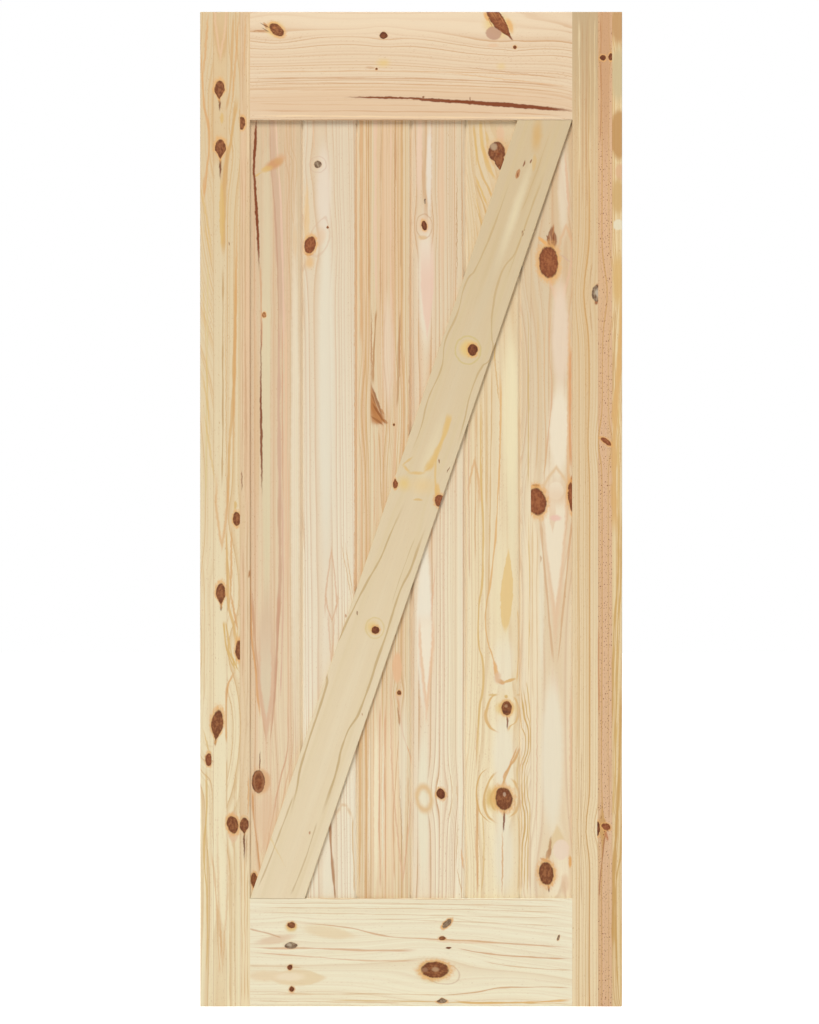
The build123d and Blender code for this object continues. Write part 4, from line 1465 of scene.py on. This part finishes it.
# %% [markdown]
# ## Plank 6
#
# Plank 6 has the biggest knots. Their ends are frayed, with spikes of bark and glowing resin, so each is
# a plain knot with small marks laid around and over it. Two of them are cut off by the plank's edges, and
# between them the grain draws a long pink V.

# %% Plank 6: knots
knots = [
    knot(295, 1597, 42, 70, kind="red", turn=-4, swirl=0.8),
    knot(270, 1083, 40, 60, kind="red", cut=(257, None), turn=-8),
    knot(345, 1092, 16, 66, kind="red", cut=(None, 346), turn=-6), knot(290, 285, 32, 50, turn=-6),
]
print(len(knots), "knots")

# %% Plank 6: lines and stains
marks = [
    mark(258, 860, 46, 900, shade(238, 221, 186), 0.65, soft=0.6),
    mark(327, 1750, 30, 260, shade(226, 210, 184), 0.7),
    streak(330, 1840, 341, 1680, 7, shade(216, 176, 142), 0.7),
    tongue(332, 1674, 34, -50, shade(216, 176, 136), 0.8, line=6, fade_out=0.8),
    mark(302, 1648, 26, 60, shade(150, 100, 66), 0.95, soft=0.35, point=-2.0),
    streak(296, 1636, 290, 1656, 5, STREAK, 0.7), streak(306, 1636, 304, 1676, 5, STREAK, 0.8),
    streak(300, 1632, 297, 1660, 4, shade(198, 150, 110), 0.8), streak(272, 1652, 292, 1634, 10, GLOW, 0.9),
    streak(304, 1650, 306, 1680, 4, SMUDGE, 0.9), streak(318, 1616, 344, 1596, 5, MAUVE, 0.8),
    tongue(317, 1498, 56, 110, shade(220, 184, 152), 0.8, line=6, fade_out=0.3),
    tongue(317, 1498, 34, 34, PINK, 0.8, fade_out=0.8), mark(300, 1590, 58, 90, GLOW, 0.55, soft=0.9),
    mark(320, 1440, 46, 300, shade(228, 207, 182), 0.85, soft=0.5),
    mark(318, 1235, 56, 260, shade(235, 222, 196), 0.9, soft=0.5),
    mark(304, 1130, 60, 120, shade(236, 222, 196), 0.5),
    mark(339, 1280, 12, 560, shade(222, 180, 132), 0.75), streak(283, 1110, 296, 1230, 4, TAN, 0.5),
    tongue(312, 1156, 66, -56, shade(220, 188, 146), 0.85, line=8, fade_out=0.05),
    mark(311, 1106, 36, 42, shade(235, 222, 196), 0.95, soft=0.2), mark(268, 1116, 26, 14, GLOW, 0.9),
    streak(344, 1138, 330, 1062, 12, GLOW, 0.85), mark(316, 1052, 5, 16, shade(130, 84, 60), 0.9),
    mark(268, 1118, 20, 8, STREAK, 0.7, turn=8), streak(346, 1142, 340, 1104, 6, shade(170, 98, 56), 0.9),
    tongue(309, 735, 68, 330, shade(224, 190, 154), 0.85, fade_out=0.25),
    tongue(308, 840, 54, 220, shade(234, 220, 192), 0.95, fade_out=0.2, soft=0.25),
    mark(279, 880, 14, 420, shade(233, 222, 194), 0.7), tongue(304, 1012, 18, 40, PINK, 0.6),
    mark(310, 1048, 34, 18, shade(230, 190, 170), 0.9),
]
print(len(marks), "lines and stains")

# %% Plank 6: more lines and stains
marks += [
    mark(278, 960, 4, 20, SMUDGE, 0.6), mark(330, 884, 4, 18, SMUDGE, 0.6),
    mark(303, 660, 10, 180, PINK, 0.7), tongue(311, 640, 12, 40, shade(226, 190, 160), 0.5),
    grain([(233, 700), (243, 620), (252, 570), (245, 530), (237, 490), (239, 440), (244, 400), (238, 340),
        (236, 229)], 4, shade(206, 164, 92), 0.9),
    grain([(238, 700), (248, 630), (256, 572), (251, 530), (243, 484), (245, 440), (250, 400), (244, 330),
        (243, 229)], 3, shade(210, 168, 98), 0.85),
    grain([(231, 660), (237, 600), (246, 566), (239, 530), (232, 494), (233, 440), (237, 400), (233, 350)],
        3, shade(210, 168, 98), 0.85),
    grain([(247, 700), (254, 640), (257, 600)], 3, GOLD, 0.8),
    grain([(252, 520), (249, 470), (254, 420), (250, 330), (250, 229)], 3, GOLD, 0.8),
    grain([(252, 1067), (254, 860), (250, 700)], 3, GOLD, 0.7),
    grain([(262, 1067), (260, 860), (262, 650)], 4, TAN, 0.6),
    grain([(272, 1040), (270, 860), (274, 600)], 3, TAN, 0.6),
    grain([(301, 1500), (297, 1410), (302, 1330), (294, 1222), (282, 1130)], 4, shade(214, 170, 132), 0.8),
    grain([(288, 1500), (286, 1350), (289, 1200), (276, 1130)], 4, shade(216, 178, 134), 0.7),
    grain([(272, 1500), (272, 1300), (268, 1140)], 3, TAN, 0.7),
    grain([(251, 1500), (252, 1300), (250, 1100)], 4, shade(206, 172, 112), 0.8),
    grain([(344, 1420), (341, 1300), (345, 1150)], 7, shade(214, 156, 108), 0.8),
    grain([(276, 1060), (292, 880), (306, 730)], 6, shade(210, 170, 130), 0.8),
    grain([(347, 1060), (329, 880), (314, 730)], 6, shade(210, 168, 126), 0.8),
    mark(303, 540, 58, 420, shade(233, 222, 196), 0.9, soft=0.45), mark(270, 500, 3, 420, PINK, 0.9),
    mark(343, 520, 10, 460, PINK, 0.8), tongue(315, 396, 50, -56, shade(224, 198, 152), 0.85, fade_out=0.1),
    mark(322, 336, 38, 50, shade(234, 212, 188), 0.95, soft=0.2),
    streak(296, 312, 300, 366, 8, shade(186, 140, 96), 0.85),
    streak(276, 318, 302, 308, 8, shade(206, 150, 104), 0.8),
    streak(290, 314, 299, 340, 12, shade(186, 140, 98), 0.8), mark(341, 310, 9, 36, GLOW, 0.9),
    streak(294, 262, 296, 244, 5, STREAK, 0.8), mark(330, 262, 24, 60, PINK, 0.6),
    mark(300, 285, 46, 66, GLOW, 0.45, soft=0.9),
]
print(len(marks), "lines and stains")

# %% Plank 6: its wood
dress("plank_6", board(
    shade(208, 185, 150), shade(240, 226, 195), PINK_LATE, 11.8, glue_lines=[257], stave_tints=[None, None],
    ring=5.6, bands=0.3, stripes=0.2, contrast=0.6, knots=knots, marks=marks,
    hearts=[
        [(200, 300, 44), (400, 280, 40), (560, 300, 44), (1905, 330, 40)],
        [(200, 312, 26), (735, 308, 36), (1100, 311, 24), (1905, 310, 28)],
    ],
))

# %% [markdown]
# ## Diagonal brace
#
# The brace is a smooth, slightly olive board that lies slanted over the planks. Its grain follows its
# length, so the wood's directions are turned by the brace's own lean. It has almost no visible rings, and
# two long lines that swing along it do the work. They are given as places on the door, as a joiner would
# mark them with a tape, and not along the board.

# %% Brace: knots
BRACE_LEAN = 18.9
BRACE_LINE = shade(197, 168, 122)
knots = [
    knot(132, 1408, 21, 26, kind="dark", swirl=0.8), knot(-34, 1122, 11, 21, kind="red", point=-1.0),
    knot(61, 1085, 22, 26, kind="red"), knot(-76, 808, 17, 17, kind="dark", swirl=0.8),
]
print(len(knots), "knots")

# %% Brace: lines and stains
marks = [
    mark(222, 1700, 30, 340, shade(226, 210, 172), 0.7, turn=BRACE_LEAN, soft=1.0),
    mark(262, 1770, 22, 260, shade(202, 174, 128), 0.5, turn=BRACE_LEAN, soft=1.0),
    mark(172, 1610, 18, 300, shade(204, 180, 136), 0.5, turn=BRACE_LEAN, soft=1.0),
    mark(40, 1180, 40, 260, shade(228, 212, 174), 0.5, turn=BRACE_LEAN, soft=1.0),
    mark(124, 1411, 52, 52, RESIN, 0.9, turn=10, soft=0.6),
    hoop(122, 1408, 54, 60, 3, shade(204, 182, 118), 0.7), mark(-84, 814, 46, 46, RESIN, 0.9, soft=1.0),
    hoop(-78, 812, 40, 44, 3, shade(212, 186, 122), 0.5),
    mark(270, 1868, 34, 110, shade(208, 168, 108), 0.85, turn=6, soft=0.9),
    streak(266, 1830, 262, 1790, 12, shade(210, 172, 110), 0.6),
    mark(229, 1786, 9, 26, SMUDGE, 0.95, turn=16, soft=0.3), mark(229, 1784, 3, 14, STREAK, 0.8, turn=16),
    streak(240, 1800, 244, 1816, 4, STREAK), streak(255, 1808, 259, 1818, 4, STREAK),
    mark(239, 1658, 6, 16, STREAK, 0.8, turn=14), mark(243, 1666, 3, 6, STREAK, 0.8),
    grain([(84, 1275), (76, 1240), (58, 1197), (46, 1168), (20, 1148)], 20, shade(220, 182, 112), 0.85),
    streak(-20, 1164, 0, 1143, 10, shade(218, 180, 112), 0.8, soft=0.9),
    streak(-10, 1144, 34, 1145, 10, shade(218, 180, 112), 0.8, soft=0.9),
    streak(24, 1144, 50, 1164, 10, shade(218, 180, 112), 0.8, soft=0.9),
    mark(24, 1118, 80, 60, shade(226, 194, 136), 0.6, soft=1.0),
]
print(len(marks), "lines and stains")

# %% Brace: more lines and stains
marks += [
    grain([(54, 1190), (52, 1130), (56, 1080)], 8, shade(220, 182, 114), 0.7),
    streak(-20, 1160, 4, 1180, 6, GOLD, 0.6), mark(-16, 1122, 46, 50, RESIN, 0.8, soft=1.0),
    mark(56, 1108, 16, 40, shade(222, 180, 110), 0.8), mark(15, 1087, 26, 8, GOLD, 0.7),
    mark(60, 1170, 4, 12, STREAK, 0.8), streak(76, 1144, 84, 1160, 3, STREAK, 0.7),
    grain([(215, 1780), (180, 1680), (157, 1623), (134, 1575), (115, 1547), (101, 1492), (74, 1430),
        (64, 1368), (36, 1300), (19, 1238), (-2, 1180)], 5, BRACE_LINE, 0.85),
    grain([(290, 1800), (250, 1690), (226, 1623), (192, 1568), (176, 1499), (173, 1430), (172, 1396),
        (154, 1375), (134, 1334), (116, 1265), (96, 1190)], 5, BRACE_LINE, 0.85),
    grain([(300, 1880), (262, 1770), (232, 1700)], 3, BRACE_LINE, 0.7),
    grain([(268, 1740), (240, 1660), (205, 1560)], 3, BRACE_LINE, 0.6),
    grain([(-10, 1090), (-50, 1000), (-68, 958), (-95, 910), (-123, 855), (-150, 800), (-178, 738),
        (-181, 690), (-198, 635), (-219, 573), (-236, 518), (-247, 463), (-262, 400)], 6, BRACE_LINE, 0.9),
    grain([(34, 1040), (1, 944), (-27, 882), (-47, 820), (-68, 758), (-88, 696), (-109, 635), (-143, 573),
        (-157, 518), (-178, 449), (-196, 400)], 6, BRACE_LINE, 0.9),
    grain([(10, 1010), (-30, 900), (-40, 860)], 3, BRACE_LINE, 0.5),
    grain([(-250, 460), (-290, 350), (-330, 250)], 5, BRACE_LINE, 0.7),
    grain([(-200, 400), (-230, 310), (-262, 236)], 4, BRACE_LINE, 0.6), mark(-116, 845, 5, 12, STREAK, 0.7),
    mark(-105, 627, 4, 8, SMUDGE, 0.7), mark(-218, 373, 5, 10, SMUDGE, 0.8),
    streak(-330, 420, -270, 300, 5, RESIN, 0.4),
]
print(len(marks), "lines and stains")

# %% Brace: its wood
dress("diagonal_brace", board(
    shade(204, 182, 145), shade(233, 217, 184), shade(208, 184, 122), 12.2, grain_turn=-BRACE_LEAN,
    ring=16.0, contrast=0.25, bands=0.1, stripes=0.08, pores=0.25, knots=knots, marks=marks,
    hearts=[
        [(0, -345, 60)],
    ],
))

# %% [markdown]
# ## Dowels and brads
#
# Two sorts of small hardware hold the boards. Beech dowels, glued into holes across each corner, keep the
# frame square; beech is hard and even, with short dark flecks. Steel brads are driven through the planks
# from behind to hold the brace, so only their heads show on the back, dull and slightly spotted where the
# zinc has worn. Neither has growth rings of its own to draw, so both are built from plain noise.

# %% Beech for the dowels
BEECH = shade(222, 188, 150)
BEECH_DEEP = shade(198, 154, 116)
BEECH_FLECK = shade(150, 104, 72)


def beech(name, seed):
    """Pale hard wood with short flecks, running along the level dowels."""
    material, tree, shader = start_material(name)
    wood = Wood(tree, LEVEL, seed)
    bands = wood.noise(1.6, 60, detail=2, layer=1)
    flecks = wood.noise(0.5, 2.4, detail=0, layer=2).fade(0.64, 0.72, 0.0, 0.7)
    colour = mixed(BEECH, BEECH_DEEP, bands.fade(0.35, 0.7))
    colour = mixed(colour, BEECH_FLECK, flecks)
    tree.links.new(colour.outlet, shader.inputs["Base Color"])
    roughness = bands * 0.2 + 0.5
    tree.links.new(roughness.outlet, shader.inputs["Roughness"])
    return material


print(sum(node.startswith("dowel_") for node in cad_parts), "dowels")

# %% Zinc-plated steel for the brads
ZINC = shade(158, 160, 160)
ZINC_WORN = shade(112, 106, 100)
RUST = shade(132, 82, 50)
METAL = 0.9


def zinc(name, seed):
    """Dull plated steel with worn patches and a little rust."""
    material, tree, shader = start_material(name)
    wood = Wood(tree, 0.0, seed)
    worn = wood.noise(1.2, 1.2, detail=3, layer=1)
    rust = wood.noise(2.5, 2.5, detail=2, layer=2).fade(0.6, 0.7, 0.0, 0.6)
    colour = mixed(ZINC, ZINC_WORN, worn.fade(0.45, 0.7))
    colour = mixed(colour, RUST, rust)
    tree.links.new(colour.outlet, shader.inputs["Base Color"])
    roughness = worn * 0.4 + 0.25
    tree.links.new(roughness.outlet, shader.inputs["Roughness"])
    shader.inputs["Metallic"].default_value = METAL
    return material


# %% Fit them
for number, node in enumerate(sorted(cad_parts)):
    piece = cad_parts[node]
    if node.startswith("dowel_") or node == "brace_brads":
        make = zinc if node == "brace_brads" else beech
        piece.data.materials.clear()
        piece.data.materials.append(make(f"{make.__name__}_{node}", number + 0.5))
        print(node, "->", piece.data.materials[0].name)

# %% [markdown]
# ## The door's size
#
# A material can't change a piece's size, but a stray object could. The size of the frame as it came in was
# printed at the start.
